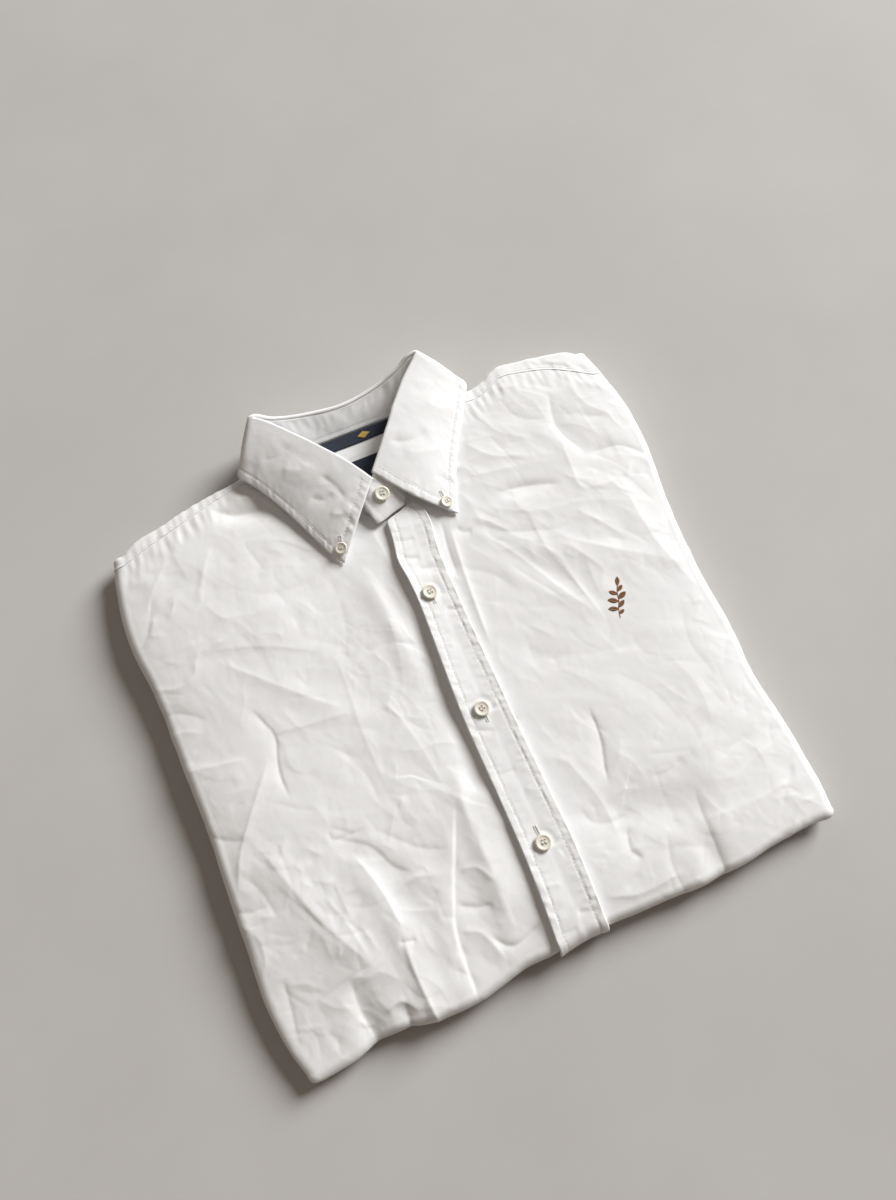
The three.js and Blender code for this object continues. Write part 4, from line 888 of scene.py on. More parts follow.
def sew(path, up, seed, pitch=2.7, share=0.74, radius=0.24, lift=0.05, wander=0.12):
    """Running stitches along a path of points with its own up directions."""
    rng = np.random.default_rng(seed)
    path, up = np.asarray(path), np.asarray(up)
    run = run_along(path)
    place = 0.0
    while place + pitch < run[-1]:
        ends = []
        for d in (place, place + pitch * share):
            p = np.array([np.interp(d, run, path[:, c]) for c in range(3)])
            n = unit(np.array([np.interp(d, run, up[:, c]) for c in range(3)]))
            ends.append((p + n * lift, n))
        shift = unit(np.cross(ends[0][1], ends[1][0] - ends[0][0])) * rng.normal(0, wander)
        stitching.stitch(ends[0][0] + shift, ends[1][0] + shift, ends[0][1], radius, arch=0.05)
        place += pitch * rng.uniform(0.96, 1.05)


def sew_at(spots, top, up, seed):
    """Running stitches through fractional places of a grid."""
    sew([sample(top, i, j) for i, j in spots], [sample(up, i, j) for i, j in spots], seed)


stitching = Blobs()

# ---------------------------------------------------------------- the two fronts
FRONT_POINTS, FRONT_TURN = (200, 408), 15   # across and along the flat part, and round a turn
TURN_LENGTH = 17.0                          # of the cloth over a side's or the low end's turn
SHELL_THICK, PLACKET_SHELL, LEAF_SHELL = 0.7, 1.25, 1.05    # the thin cloth laid on the solids
SHIRT_MIDDLE = 5                            # x
CREASE_HEIGHT, CREASE_LEFT, CREASE_RIGHT = 0.8, 0.8, 0.85   # shares of the crease tables' sizes


def front(name, sign, inner, small, creases, lean, seed):
    across, along = (fit(n + FRONT_TURN) - FRONT_TURN for n in FRONT_POINTS)
    S, T, P, Q = grids(axis(across, 0, FRONT_TURN), axis(along, FRONT_TURN))
    x, y = plan(S, T, lambda v: np.full_like(v, inner), lambda v: side_inset(sign, v), low_inset,
                lambda v: seam_at(v) - SEAM / 2)
    base = turned(x, y, front_top(x, y), P, Q, sign, -1.0)
    # the cloth's own plane, unrolled past the turns
    u, v = x + sign * P * TURN_LENGTH, y - Q * TURN_LENGTH
    lift = np.zeros_like(u)
    for points, height, left, right, *rounding in creases.values():
        crease(lift, u, v, points, height * CREASE_HEIGHT, left * CREASE_LEFT,
               right * CREASE_RIGHT, *rounding)
    small_creases(lift, u, v, small, seed)
    lift += 0.30 * noise(u, v, 46, seed + 1) + 0.08 * noise(u, v, 21, seed + 2)
    warp_u, warp_v = 2.2 * noise(u, v, 24, seed + 3), 2.2 * noise(u, v, 24, seed + 4)
    lift += 0.22 * facets(u + warp_u, v + warp_v, 16, 2.6, lean, seed + 5)
    lift += 0.095 * facets(u + warp_v, v - warp_u, 8.5, 1.9, lean + 38, seed + 6)
    lift += 0.06 * facets(u + warp_u, v + warp_v, 4.0, 1.8, lean - 30, seed + 7)
    # pinned at the seam with the yoke, and pressed flat beneath the placket
    to_seam = seam_at(x) - y
    lift *= smooth(to_seam, -1, 16) * 0.92 + 0.08
    beside = np.where(x > SHIRT_MIDDLE, x - at(PLACKET, y, 2), at(PLACKET, y, 1) - x)
    lift = np.where(beside < 10, np.minimum(lift, 0.3 + np.maximum(beside, 0) * 0.24), lift)
    lift = np.where(beside < 0, np.minimum(lift, 0.1), lift)
    # puckers that run from the shoulder seam
    ripple = noise(u, to_seam * 0.25, 5.2, seed + 6)
    lift += (0.55 * ripple * smooth(np.abs(u), 70, 84) * smooth(to_seam, 0, 2)
             * (1 - smooth(to_seam, 7, 22)))
    if sign < 0:                # the under front is held clear of the placket
        lift -= 0.2 * (1 - smooth(beside, -6, 3))
    piece, top = shell(name + "_cloth", base, grid_normals(base), lift, SHELL_THICK, COTTON,
                       name)
    return piece, top, grid_normals(top)


right_front, *_ = front("front_right_panel", -1, RIGHT_FRONT_EDGE, RIGHT_FRONT_SMALL,
                        RIGHT_FRONT_CREASES, -58, 11)
left_front, left_top, left_up = front("front_left_panel", 1, LEFT_FRONT_EDGE, LEFT_FRONT_SMALL,
                                      LEFT_FRONT_CREASES, -42, 31)


def surface_on(top, up, x, y):
    """The point of a fine grid that lies above (x, y), with its normal."""
    d = (top[..., 0] - x) ** 2 + (top[..., 1] - y) ** 2 - (top[..., 2] > 12) * 1e-6
    d = np.where(top[..., 2] > 10, d, 1e9)      # not on the turned-under part
    i, j = np.unravel_index(np.argmin(d), d.shape)
    near = up[max(i - 1, 0):i + 2, max(j - 1, 0):j + 2].reshape(-1, 3).mean(axis=0)
    near /= np.linalg.norm(near)
    z = top[i, j, 2] - ((x - top[i, j, 0]) * near[0] + (y - top[i, j, 1]) * near[1]) / near[2]
    return np.array([x, y, z]), near


def lay(blobs, top, up, start, stop, lifts, radius, **shape):
    """A stitch between two points in plan, laid on a fine grid."""
    (a, up_a), (b, up_b) = (surface_on(top, up, *spot) for spot in (start, stop))
    blobs.stitch(a + up_a * lifts[0], b + up_b * lifts[1], up_a, radius, **shape)


def place_along(value, distances, span):
    """The fractional place in a span of points at which their distance is the value."""
    order = np.argsort(distances)
    return float(np.interp(value, distances[order], span[order]))


# ---------------------------------------------------------------- yoke
YOKE_ROW = 2.2      # from the seam to its stitches


def yoke():
    turn_n = 12
    cols, rows = fit(380), fit(60 + turn_n)
    S, T, P, Q = grids(axis(cols - 2 * turn_n, turn_n, turn_n), axis(rows - turn_n, 0, turn_n))
    x, y = plan(S, T, lambda v: side_inset(-1, v), lambda v: side_inset(1, v),
                lambda v: seam_at(v) + 0.1, high_inset)
    sign = np.where(S < 0.5, -1.0, 1.0)
    base = turned(x, y, yoke_top(x, y), P, Q, sign, 1.0)
    u, v = x + sign * P * TURN_LENGTH, y + Q * 15
    from_seam = y - seam_at(x)
    lift = 0.35 * noise(u, v, 38, 51) + 0.2 * noise(u, v, 15, 52) + 0.06 * noise(u, v, 5, 53)
    small_creases(lift, u, v, [
        [-205, -75, 150, 205, 40, (8, 30), 20, 40, (0.07, 0.2), (1.0, 4)],
        [80, 205, 165, 210, 46, (8, 30), -15, 45, (0.07, 0.22), (1.0, 4)],
        [-50, 50, 120, 190, 14, (12, 40), 10, 60, (0.04, 0.1), (3, 7)]], 55)
    out = smooth(np.abs(u), 70, 80)
    # the folded edge of the seam stands a little over the fronts, drawn up by its stitches
    ripple = noise(u, from_seam * 0.3, 5.2, 57)
    lift *= 1 - 0.7 * out * (1 - smooth(from_seam, 3, 10))
    lift += out * (0.42 * (1 - smooth(from_seam, 1.2, 4.5))
                   + 0.42 * ripple * (1 - smooth(from_seam, 5, 12)))
    lift -= out * 0.35 * np.exp(-((from_seam - 2.3) / 0.7) ** 2)
    # flat beneath the tape and the label
    trim = (smooth(v, 178, 181) * (1 - smooth(v, 194, 197))
            + smooth(v, 138, 141) * (1 - smooth(v, 169, 172)))
    flat = trim * (1 - smooth(np.abs(u), 48, 54))
    lift = lift * (1 - flat) + np.minimum(lift, 0) * flat * 0.3
    lift = np.where((np.abs(u) < 64) & (y < seam_at(x) + 26), np.minimum(lift, 0.25), lift)
    piece, top = shell("yoke_cloth", base, grid_normals(base), lift, SHELL_THICK, COTTON,
                       "yoke")
    up = grid_normals(top)
    rows_in = [int(np.argmin(np.abs(line - YOKE_ROW))) for line in from_seam[:, :rows - turn_n]]
    for low_x, high_x, seed in ((-188, -84, 3), (84, 196, 4)):
        sew_at([(i, j) for i, j in enumerate(rows_in)
                if low_x < u[i, j] < high_x and P[i, j] == 0], top, up, seed)
    return piece


yoke_piece = yoke()


# ---------------------------------------------------------------- hidden layers
COVER_DROP, COVER_POINTS = 1.2, 36
LAYER_COLS, LAYER_ROWS = 210, 218


def core_top(x, y):
    """The top of the hidden layers, close beneath the fronts and the yoke."""
    seam = seam_at(x)
    in_neck = smooth(y, seam - 26, seam - 8) * (1 - smooth(np.abs(x), 62, 78))
    troughs = np.where(x < 9, folds_at(RIGHT_FRONT_FOLDS, x, y, 4, only_down=True),
                       folds_at(LEFT_FRONT_FOLDS, x, y, 4, only_down=True))
    return (pile_top(x, y) + troughs * (1 - in_neck) * 1.12 - neck_drop(x) * in_neck - CLOTH
            - CORE_GAP)


def rounded(values):
    """Values round the closed rim, changed softly at its corners."""
    w = np.exp(-np.linspace(-2, 2, 13) ** 2)
    return np.convolve(np.concatenate([values[-6:], values, values[:6]]), w / w.sum(),
                       mode="valid")


def hidden_layers():
    s, t = np.linspace(0, 1, LAYER_COLS + 1), np.linspace(0, 1, LAYER_ROWS + 1)
    ring_s = np.concatenate([s[:-1], np.ones(LAYER_ROWS), s[:0:-1], np.zeros(LAYER_ROWS)])
    ring_t = np.concatenate([np.zeros(LAYER_COLS), t[:-1], np.ones(LAYER_COLS), t[:0:-1]])
    n = len(ring_s)
    x, y = pile_plan(ring_s, ring_t)
    h = core_top(x, y)
    side = np.where(ring_s == 0, -1.0, np.where(ring_s == 1, 1.0, 0.0))
    end = np.where(ring_t == 0, -1.0, np.where(ring_t == 1, 1.0, 0.0))
    place = np.concatenate([[0], np.cumsum(np.hypot(np.diff(x), np.diff(y)))])
    foot = rounded(np.where(side != 0, SIDE_FOOT, np.where(end < 0, BOTTOM_FOOT, TOP_FOOT)))
    turn = rounded(np.where(side != 0, SIDE_TURN, np.where(end < 0, BOTTOM_TURN, TOP_TURN)))
    out_x, out_y = rounded(side), rounded(end)
    size = np.maximum(np.hypot(out_x, out_y), 1e-6)
    out_x, out_y = out_x / size, out_y / size
    # each level: how far out of the rim it reaches, its height, its roughness
    shrink = CLOTH + COVER_DROP
    half = (h + CLOTH + CORE_GAP - foot) / 2
    levels = [((turn - shrink) * math.sin(m * TURN_END),
               foot + half + (half - shrink) * math.cos(m * TURN_END), 0.0)
              for m in np.linspace(0.12, 0.97, 8)]
    levels.append((WAIST["reach"] * turn / SIDE_TURN, foot + WAIST["above_foot"], 0.0))
    # three folded layers below, each a rounded lip with a groove between
    below = foot - WAIST["below_foot"]
    for f in np.linspace(1, 0, 30):
        lip = np.abs(np.sin(f * math.pi * 3 + 0.25 * np.sin(place / 41.0)))
        reach = 2.2 + 4.6 * lip ** 0.55 * (0.84 + 0.16 * noise(place, np.full(n, f * 3), 34, 63))
        reach = np.where(f > 0.94, reach * 0.55 + 0.8, reach)
        levels.append((reach * turn / SIDE_TURN, np.maximum(below * f, 0.0),
                       0.35 if 0.03 < f < 0.97 else 0))
    rings = [np.stack([x, y, h], axis=1)]
    for reach, z, rough in levels:
        w = (reach + rough * noise(place, z * 4.0, 9, 66)
             + rough * 0.5 * noise(place, z * 9.0, 4, 67))
        rings.append(np.stack([x + out_x * w, y + out_y * w, np.broadcast_to(z, x.shape)], axis=1))
    points = list(np.concatenate(rings))
    faces = [[r * n + k, (r + 1) * n + k, (r + 1) * n + (k + 1) % n, r * n + (k + 1) % n]
             for r in range(len(rings) - 1) for k in range(n)]
    # the covered top and the flat underside, each a coarse grid inside its ring
    m = COVER_POINTS
    gx, gy = np.meshgrid(np.linspace(0, 1, m), np.linspace(0, 1, m), indexing="ij")
    cx, cy = pile_plan(gx * 0.94 + 0.03, gy * 0.94 + 0.03)
    corners = [0, LAYER_COLS, LAYER_COLS + LAYER_ROWS, 2 * LAYER_COLS + LAYER_ROWS, n]
    match = np.zeros(n + 1, int)        # the border point beside each ring point, side by side
    for c, (a, b) in enumerate(zip(corners, corners[1:])):
        match[a:b + 1] = np.round(c * (m - 1) + np.linspace(0, m - 1, b - a + 1)).astype(int)
    for z_grid, way, ring_start in ((core_top(cx, cy) - COVER_DROP, 1, 0),
                                    (np.zeros_like(cx), -1, (len(rings) - 1) * n)):
        start = len(points)
        points += list(np.stack([cx, cy, z_grid], axis=-1).reshape(-1, 3))
        faces += [f[::way] for f in grid_faces(m, m, start).tolist()]
        inner = [start + a * m + b for a, b in border(m, m)]
        for k in range(n):
            a, b = ring_start + k, ring_start + (k + 1) % n
            i0, i1 = inner[match[k] % len(inner)], inner[match[k + 1] % len(inner)]
            faces.append([a, b, i0][::way])
            if i1 != i0:
                faces.append([b, i1, i0][::way])
    # the folded layers take the darker cotton, which is painted shade under the overhanging fronts
    make_object("folded_layers_cloth", np.array(points), faces, LAYERS_PAINTED_SHADE, "folded_layers")


hidden_layers()


# ---------------------------------------------------------------- placket
# how much of the solid's lift its free edge keeps, for each y
SETTLED = [[-214, 1], [-180, 0.75], [-140, 0.55], [-100, 0.5], [-72, 0.2], [-55, 0.25],
           [-30, 0.75], [0, 1], [115, 1]]
PRESSED_FOLD = [[-230, 3.5], [-180, 4.5], [-60, 5], [20, 8], [80, 11], [115, 15]]   # y, x
PLACKET_ROW, LEAF_ROW = 5.6, 6.4     # from a hem's edge to its row of stitches
# short creases across the placket, each from (x, y) to (x, y), with its height
PLACKET_CREASES = [
    (-10, -58, 6, -66, -0.5), (10, -158, 21, -152, -0.5), (-6, 92, 12, 88, -0.6),
    (-7, 80, 9, 72, -0.6), (2, 66, 22, 60, -0.6), (9, 30, 22, 24, -0.5), (-10, 8, 6, 2, 0.4),
    (-12, -92, 8, -96, -0.45), (6, -110, 22, -116, 0.4), (-14, -170, 4, -176, 0.45),
    (4, -196, 20, -200, -0.7), (-14, -203, 2, -206, -0.4)]


def placket_top(x, y):
    left, right = at(PLACKET, y, 1), at(PLACKET, y, 2)
    free = np.clip((right - x) / (right - left), 0, 1)
    raised = at(PLACKET, y, 3) * at(SETTLED, y, 1) * free ** 2.2
    under = pile_top(x, y) + PLACKET_GAP + 0.35 * np.sin(math.pi * free) ** 2
    return under + raised + PLACKET_THICK


def placket():
    turn_n = 12
    cols, rows = fit(53), fit(345 + turn_n)
    S, T, P, Q = grids(axis(cols), axis(rows - turn_n, turn_n, reach=0.74))
    x, y = plan(S, T, lambda v: at(PLACKET, v, 1), lambda v: at(PLACKET, v, 2), low_inset,
                lambda v: np.full_like(v, PLACKET_END))
    pile = pile_top(x, y)
    base = turned(x, y, pile, P, Q, 1.0, -1.0, placket_top(x, y) - pile)
    v = y - Q * TURN_LENGTH
    from_left, from_right = x - at(PLACKET, y, 1), at(PLACKET, y, 2) - x
    row = PLACKET_ROW
    ripple_l = 0.9 * noise(v, x * 0.12, 6.2, 71) + 0.6 * noise(v, x * 0.2, 3.3, 72)
    ripple_r = 0.9 * noise(v, x * 0.12, 5.6, 73) + 0.7 * noise(v, x * 0.2, 3.1, 74)
    lift = 0.12 * noise(x, v, 18, 75) + 0.10 * noise(x, v, 8, 76)
    # the pressed fold that runs down the middle, with its right half lower
    middle = at(PRESSED_FOLD, v, 1)
    lift += 0.16 * smooth(middle - x, -2.2, 2.2) - 0.12
    lift += np.where(x < middle, 0.03, 0.075) * (np.hypot(x - middle, 1.6) - 1.6)
    # hems: a trench at each row of stitches, puffed and drawn between it and the edge
    for d, ripple, depth in ((from_left, ripple_l, 0.24), (from_right, ripple_r, 0.26)):
        lift -= depth * np.exp(-((d - row) / 0.75) ** 2)
        hem = smooth(d, 0.2, 1.8) * (1 - smooth(d, row - 1.4, row))
        lift += hem * (0.12 + 0.42 * ripple)
        lift += 0.24 * ripple * smooth(d, row, row + 1) * (1 - smooth(d, row + 2, row + 8))
    lift += 0.2 * np.exp(-(from_right / 0.8) ** 2)
    lift += 0.18 * noise(v, x * 0, 22, 78) * (1 - smooth(from_left, 0, 12))
    for bx, by in PLACKET_BUTTONS.values():
        r = np.hypot(x - bx, v - by)
        lift *= 1 - np.exp(-(r / 6.4) ** 6)
        lift -= 0.45 * np.exp(-((r - 7.6) / 2.2) ** 2) * (v > by - 4)
    for x0, y0, x1, y1, height in PLACKET_CREASES:
        middle = ((x0 + x1) / 2, (y0 + y1) / 2 - 1)
        crease(lift, x, v, [(x0, y0), middle, (x1, y1)], height, 1.8, 3.2)
    piece, top = shell("placket_cloth", base, grid_normals(base), np.minimum(lift, 1.15),
                       PLACKET_SHELL, COTTON_TRIM, "placket", rim=0.3)
    up = grid_normals(top)
    for d, span, seed in ((from_left, np.arange(cols // 2), 5),
                          (from_right, np.arange(cols // 2, cols), 6)):
        sew_at([(place_along(row, d[span, j], span), j) for j in range(2, rows - 2)], top, up, seed)
    return piece, top, up


placket_piece, placket_grid, placket_up = placket()

# ---------------------------------------------------------------- collar
LAST = len(COLLAR) - 1
UP = np.array([0, 0, 1.0])
BAND_INSET, BAND_DROP = 0.35, 0.7       # of the band's upper edge from the middle of the roll
ROLL_START = math.radians(-52)


def base_z(x, y):
    x, y = np.float64(x), np.float64(y)
    z = float(yoke_top(x, y))
    if y < seam_at(x) + 3 and abs(x) < 66:
        z = max(z, float(pile_top(x, y)))
    return z


def collar_row(s):
    r = station_at(COLLAR, s)
    fold, edge = r[3:6], r[6:9]
    before, after = station_at(COLLAR, max(s - 0.25, 0)), station_at(COLLAR, min(s + 0.25, LAST))
    h = np.array([before[4] - after[4], after[3] - before[3], 0])
    h /= np.linalg.norm(h)
    centre = fold - UP * LEAF_ROLL
    run = (edge - fold) @ h
    slope = min(math.atan2(fold[2] - edge[2], run), 1.35)
    return fold, edge, h, centre, slope, r[:3]


def band_top(centre, h, s):
    """The band's upper edge, drawn flush with the inside of the collar's roll round the neck."""
    w = float(smooth(np.float64(s), 2.5, 5) * (1 - smooth(np.float64(s), 17, 19.5)))
    return centre - h * (BAND_INSET + 1.4 * w) - UP * (BAND_DROP - 1.15 * w)


def stand_mid(s):
    """The band's lower and upper edge, as the middle of its cloth."""
    _, _, h, centre, _, base = collar_row(min(s, LAST))
    if s <= LAST:
        low = np.array([base[0], base[1], base_z(base[0], base[1]) + base[2] + 1.25])
        return low, band_top(centre, h, s)
    end = station_at(np.array([COLLAR[LAST][:6], *BAND_END]), s - LAST)
    first = centre - h * BAND_INSET - UP * BAND_DROP
    top = end[3:6] + (1 - min(s - LAST, 1)) * (first - COLLAR[LAST][3:6])
    return np.array([end[0], end[1], float(pile_top(end[0], end[1])) + end[2] + 0.95]), top


def even_stations(point, start, stop, spacing):
    """Stations set evenly along a line."""
    fine = np.linspace(start, stop, 400)
    line = np.array([point(s) for s in fine])
    run = run_along(line)
    n = fit(run[-1] / spacing)
    return np.interp(np.linspace(0, run[-1], n), run, fine)


def stand():
    around = even_stations(lambda s: stand_mid(s)[1], STAND_START, LAST + len(BAND_END), 1.35)
    w = np.linspace(0, 1, fit(25))
    grid = np.empty((len(around), len(w), 3))
    for i, s in enumerate(around):
        low, high = stand_mid(s)
        grid[i] = low + (high - low) * w[:, None]
        grid[i, :, 2] += np.sin(math.pi * w) * (1 if s < 6 or s > 16 else 0.4)
    normal = grid_normals(grid, up=False)
    run = run_along(grid[:, len(w) // 2])
    R, W = np.meshgrid(run, w, indexing="ij")
    height = np.linalg.norm(grid[:, -1] - grid[:, 0], axis=1)[:, None]
    up_mm = W * height
    lift = 0.22 * noise(R, up_mm * 0.6, 15, 81) + 0.14 * noise(R, up_mm * 0.5, 7, 82)
    # gathered beneath the fold, as the band's own lining is
    lift += (0.42 * noise(R, up_mm * 0.22, 5.2, 83) * smooth(W, 0.35, 0.8)
             * (1 - smooth(W, 0.95, 1.0)))
    lift += 0.3 * facets(R, up_mm, 7, 1.4, 55, 84) * smooth(W, 0.15, 0.5)
    lift -= 0.25 * np.exp(-((up_mm - 3.2) / 0.8) ** 2)
    lift -= 0.3 * np.exp(-((run[-1] - R - 3.0) / 0.8) ** 2)
    lift = np.clip(lift, -0.5, 0.4) * (1 - 0.8 * smooth(W, 0.88, 1.0))
    thick = STAND_THICK * 0.86
    piece, _ = shell("collar_stand_cloth", grid + normal * thick / 2, normal, lift, thick,
                     COTTON_TRIM, "collar_stand", k=1, rim=0.35)
    return piece


stand_piece = stand()


def leaf_point(s, w):
    _, edge, h, centre, slope, _ = collar_row(s)
    start = centre + h * LEAF_ROLL * math.sin(slope) + UP * LEAF_ROLL * math.cos(slope)
    p = start + (edge - start) * w
    bulge = 1.6 * math.sin(math.pi * w)
    bow = 3 * math.sin(math.pi * w) * math.exp(-(LAST - s) * 1.1)
    return (p + h * bulge * math.sin(slope) * 0.8 + UP * bulge * math.cos(slope)
            - bow * np.array([0.72, 0.68, 0]))


LEAF_DENTS = {   # on the right leaf and on the left, in plan
    "a": ([(-36, 160), (-28, 146), (-25, 132)], -0.9, 3, 5),
    "b": ([(-49, 147), (-40, 140), (-31, 143)], -0.7, 3, 4),
    "c": ([(-40, 130), (-31, 124), (-22, 128)], 0.7, 3, 4),
    "d": ([(-24, 122), (-34, 112), (-38, 104)], -0.6, 2.5, 4),
    "e": ([(-60, 176), (-46, 168), (-38, 172)], 0.6, 5, 6),
    "f": ([(-72, 190), (-58, 186), (-46, 192)], -0.5, 5, 7),
    "g": ([(22, 164), (36, 158), (54, 162)], -0.9, 5, 4),
    "h": ([(28, 152), (44, 146), (62, 148)], 0.6, 5, 5),
    "i": ([(44, 128), (52, 118), (50, 108)], -0.5, 3, 4),
    "j": ([(60, 186), (70, 176), (82, 178)], 0.5, 5, 6),
    "k": ([(28, 186), (44, 190), (58, 198)], 0.4, 6, 8)}


def puffs(run, across, seed):
    """The drawn cloth between a leaf's edge and its stitches."""
    return (0.75 * noise(run, across * 0.12, 4.2, seed)
            + 0.35 * noise(run, across * 0.15, 2.6, seed + 1))


def leaf():
    around = even_stations(lambda s: 0.5 * (leaf_point(s, 0) + leaf_point(s, 1)), 0, LAST, 1.15)
    roll_n = 12
    rows = fit(roll_n + 56)
    grid = np.empty((len(around), rows, 3))
    for i, s in enumerate(around):
        _, _, h, centre, slope, _ = collar_row(s)
        grid[i, :roll_n] = [centre + h * LEAF_ROLL * math.sin(a) + UP * LEAF_ROLL * math.cos(a)
                            for a in np.linspace(ROLL_START, slope, roll_n, endpoint=False)]
        grid[i, roll_n:] = [leaf_point(s, w) for w in np.linspace(0, 1, rows - roll_n)]
    # distances in the cloth: to the long edge, from the inner edge, and along the long edge
    step = np.linalg.norm(np.diff(grid, axis=1), axis=2)
    none = np.zeros((len(around), 1))
    to_edge = np.concatenate([np.cumsum(step[:, ::-1], axis=1)[:, ::-1], none], axis=1)
    column_run = np.concatenate([none, np.cumsum(step, axis=1)], axis=1)
    long_run = run_along(grid[:, -1])[:, None] + np.zeros(rows)

    def away_from(line):
        """The distance square to a front edge, not along the rows."""
        out = np.full(grid.shape[:2], 1e9)
        for p, q in zip(line[:-1:3], line[3::3]):
            d = q - p
            t = np.clip(((grid - p) @ d) / (d @ d), 0, 1)
            out = np.minimum(out, np.linalg.norm(grid - p - t[..., None] * d, axis=2))
        return out
    near_start, near_end = away_from(grid[0, roll_n:]), away_from(grid[-1, roll_n:])
    front_edge = np.minimum(near_start, near_end)
    row = LEAF_ROW
    x, y = grid[..., 0], grid[..., 1]
    lift = (0.3 * noise(x, y, 26, 91) + 0.16 * facets(x, y, 9, 1.8, -35, 92)
            + 0.05 * noise(x, y, 5, 93))
    for points, height, left, right in LEAF_DENTS.values():
        crease(lift, x, y, points, height, left, right)
    lift *= smooth(to_edge, 0, 9) * 0.75 + 0.25
    # drawn hem along the long edge and the fronts
    flat_part = smooth(np.arange(rows), roll_n + 1, roll_n + 5)
    for d, waves in ((to_edge, puffs(long_run, to_edge, 94)),
                     (front_edge, puffs(column_run, front_edge, 96))):
        lift -= 0.3 * np.exp(-((d - row) / 0.7) ** 2) * flat_part
        hem = smooth(d, 0.3, 1.6) * (1 - smooth(d, row - 1.2, row))
        lift += hem * (0.14 + 0.55 * waves) * flat_part
        lift += (0.26 * waves * smooth(d, row, row + 1) * (1 - smooth(d, row + 2, row + 9))
                 * flat_part)
    for bx, by in COLLAR_POINT_BUTTONS.values():
        lift *= 1 - np.exp(-(np.hypot(x - bx, y - by) / 5.4) ** 6)
    lift = np.clip(lift, -1.1, 0.8)
    piece, top = shell("collar_leaf_cloth", grid, grid_normals(grid), lift, LEAF_SHELL, COTTON_TRIM,
                       "collar_leaf", rim=0.38)
    up = grid_normals(top)
    # the row of stitches beside the long edge, then beside each front edge
    near = 30       # grid columns near a front edge
    sew_at([(i, roll_n + np.interp(-row, -to_edge[i, roll_n:], np.arange(rows - roll_n)))
            for i in range(len(around))
            if front_edge[i, -8] >= row + 0.5 or min(i, len(around) - i) >= near], top, up, 8)
    for distance, span, seed in ((near_start, np.arange(26), 9),
                                 (near_end, np.arange(len(around) - 26, len(around)), 10)):
        spots = [(place_along(row, distance[span, j], span), j)
                 for j in range(roll_n + 2, rows - 5) if distance[span, j].max() >= row]
        sew_at([(i, j) for i, j in spots if to_edge[int(round(i)), j] >= row - 0.6], top, up, seed)
    return piece, top, up


leaf_piece, leaf_grid, leaf_up = leaf()


# ---------------------------------------------------------------- trim inside the back neck
def ribbon(name, node, cols, rows, point, lift_of):
    S, T = np.meshgrid(np.linspace(0, 1, cols), np.linspace(0, 1, rows), indexing="ij")
    x, y = point(S, T)
    base = np.stack([x, y, yoke_top(x, y) + TRIM_GAP + SHELL_THICK], axis=-1)
    return shell(name, base, grid_normals(base), lift_of(x, y, S, T), SHELL_THICK, NAVY,
                 node, k=2, rim=0.3)


def tape_point(s, t):
    x = TAPE[0][0] + (TAPE[-1][0] - TAPE[0][0]) * s
    return x, at(TAPE, x, 1) + (at(TAPE, x, 2) - at(TAPE, x, 1)) * t


def label_point(s, t):
    x = LABEL["centre_x"] + (s - 0.5) * LABEL["width"] * (0.5 + 0.5 * t)
    return x, LABEL["low_y"] + (LABEL["high_y"] - LABEL["low_y"]) * t


def tape_lift(x, y, s, t):
    edge = np.minimum(t, 1 - t)
    return 0.10 * noise(x, y * 0.4, 7, 101) + 0.16 * np.exp(-((edge - 0.12) / 0.06) ** 2) - 0.12


def label_lift(x, y, s, t):
    edge = np.minimum(np.minimum(s, 1 - s) * 1.6, np.minimum(t, 1 - t))
    return 0.12 * noise(x, y, 9, 103) - 0.16 * np.exp(-((edge - 0.07) / 0.02) ** 2)


tape_piece, tape_grid = ribbon("neck_tape_band", "neck_tape", 121, 17, tape_point, tape_lift)
label_piece, _ = ribbon("neck_label_patch", "neck_label", 65, 41, label_point, label_lift)
gold = Blobs()
tape_up = grid_normals(tape_grid)
LOZENGE = {"x": 9.5, "half_width": 5.2, "height": 6.6, "threads": 27}
for n in range(LOZENGE["threads"]):
    f = (n + 0.5) / LOZENGE["threads"] * 2 - 1
    cx = LOZENGE["x"] + f * LOZENGE["half_width"]
    span = (1 - abs(f)) * LOZENGE["height"] / 2
    middle_y = float(at(TAPE, cx, 1) + at(TAPE, cx, 2)) / 2
    if span >= 0.3:
        lay(gold, tape_grid, tape_up, (cx - 0.3, middle_y - span), (cx + 0.3, middle_y + span),
            (0.06, 0.06), 0.27, arch=0.10)
gold.make("neck_tape_lozenge", GOLD, "navy_trim")


# ---------------------------------------------------------------- buttons and buttonholes
BUTTON_THICK = 0.36     # of its radius
# the turned outline from the middle of the back to the middle of the dish, as shares of the radius
# and the thickness
BUTTON_PROFILE = [
    (0.0, 0.02), (0.62, 0.0), (0.84, 0.03), (0.94, 0.16), (0.985, 0.36), (1.0, 0.55),
    (0.985, 0.74), (0.95, 0.90), (0.90, 0.98), (0.84, 1.0), (0.78, 0.99), (0.73, 0.96),
    (0.68, 0.90), (0.63, 0.84), (0.57, 0.80), (0.48, 0.78), (0.30, 0.775), (0.0, 0.77)]
BUTTON_SIDES, HOLE_SIDES = 56, 20
HOLE_PLACE, HOLE_RADIUS = 0.27, 0.14        # of the radius


def ring(radius, z, sides, cx=0.0, cy=0.0):
    angles = [2 * math.pi * n / sides for n in range(sides)]
    return [(cx + radius * math.cos(a), cy + radius * math.sin(a), z) for a in angles]


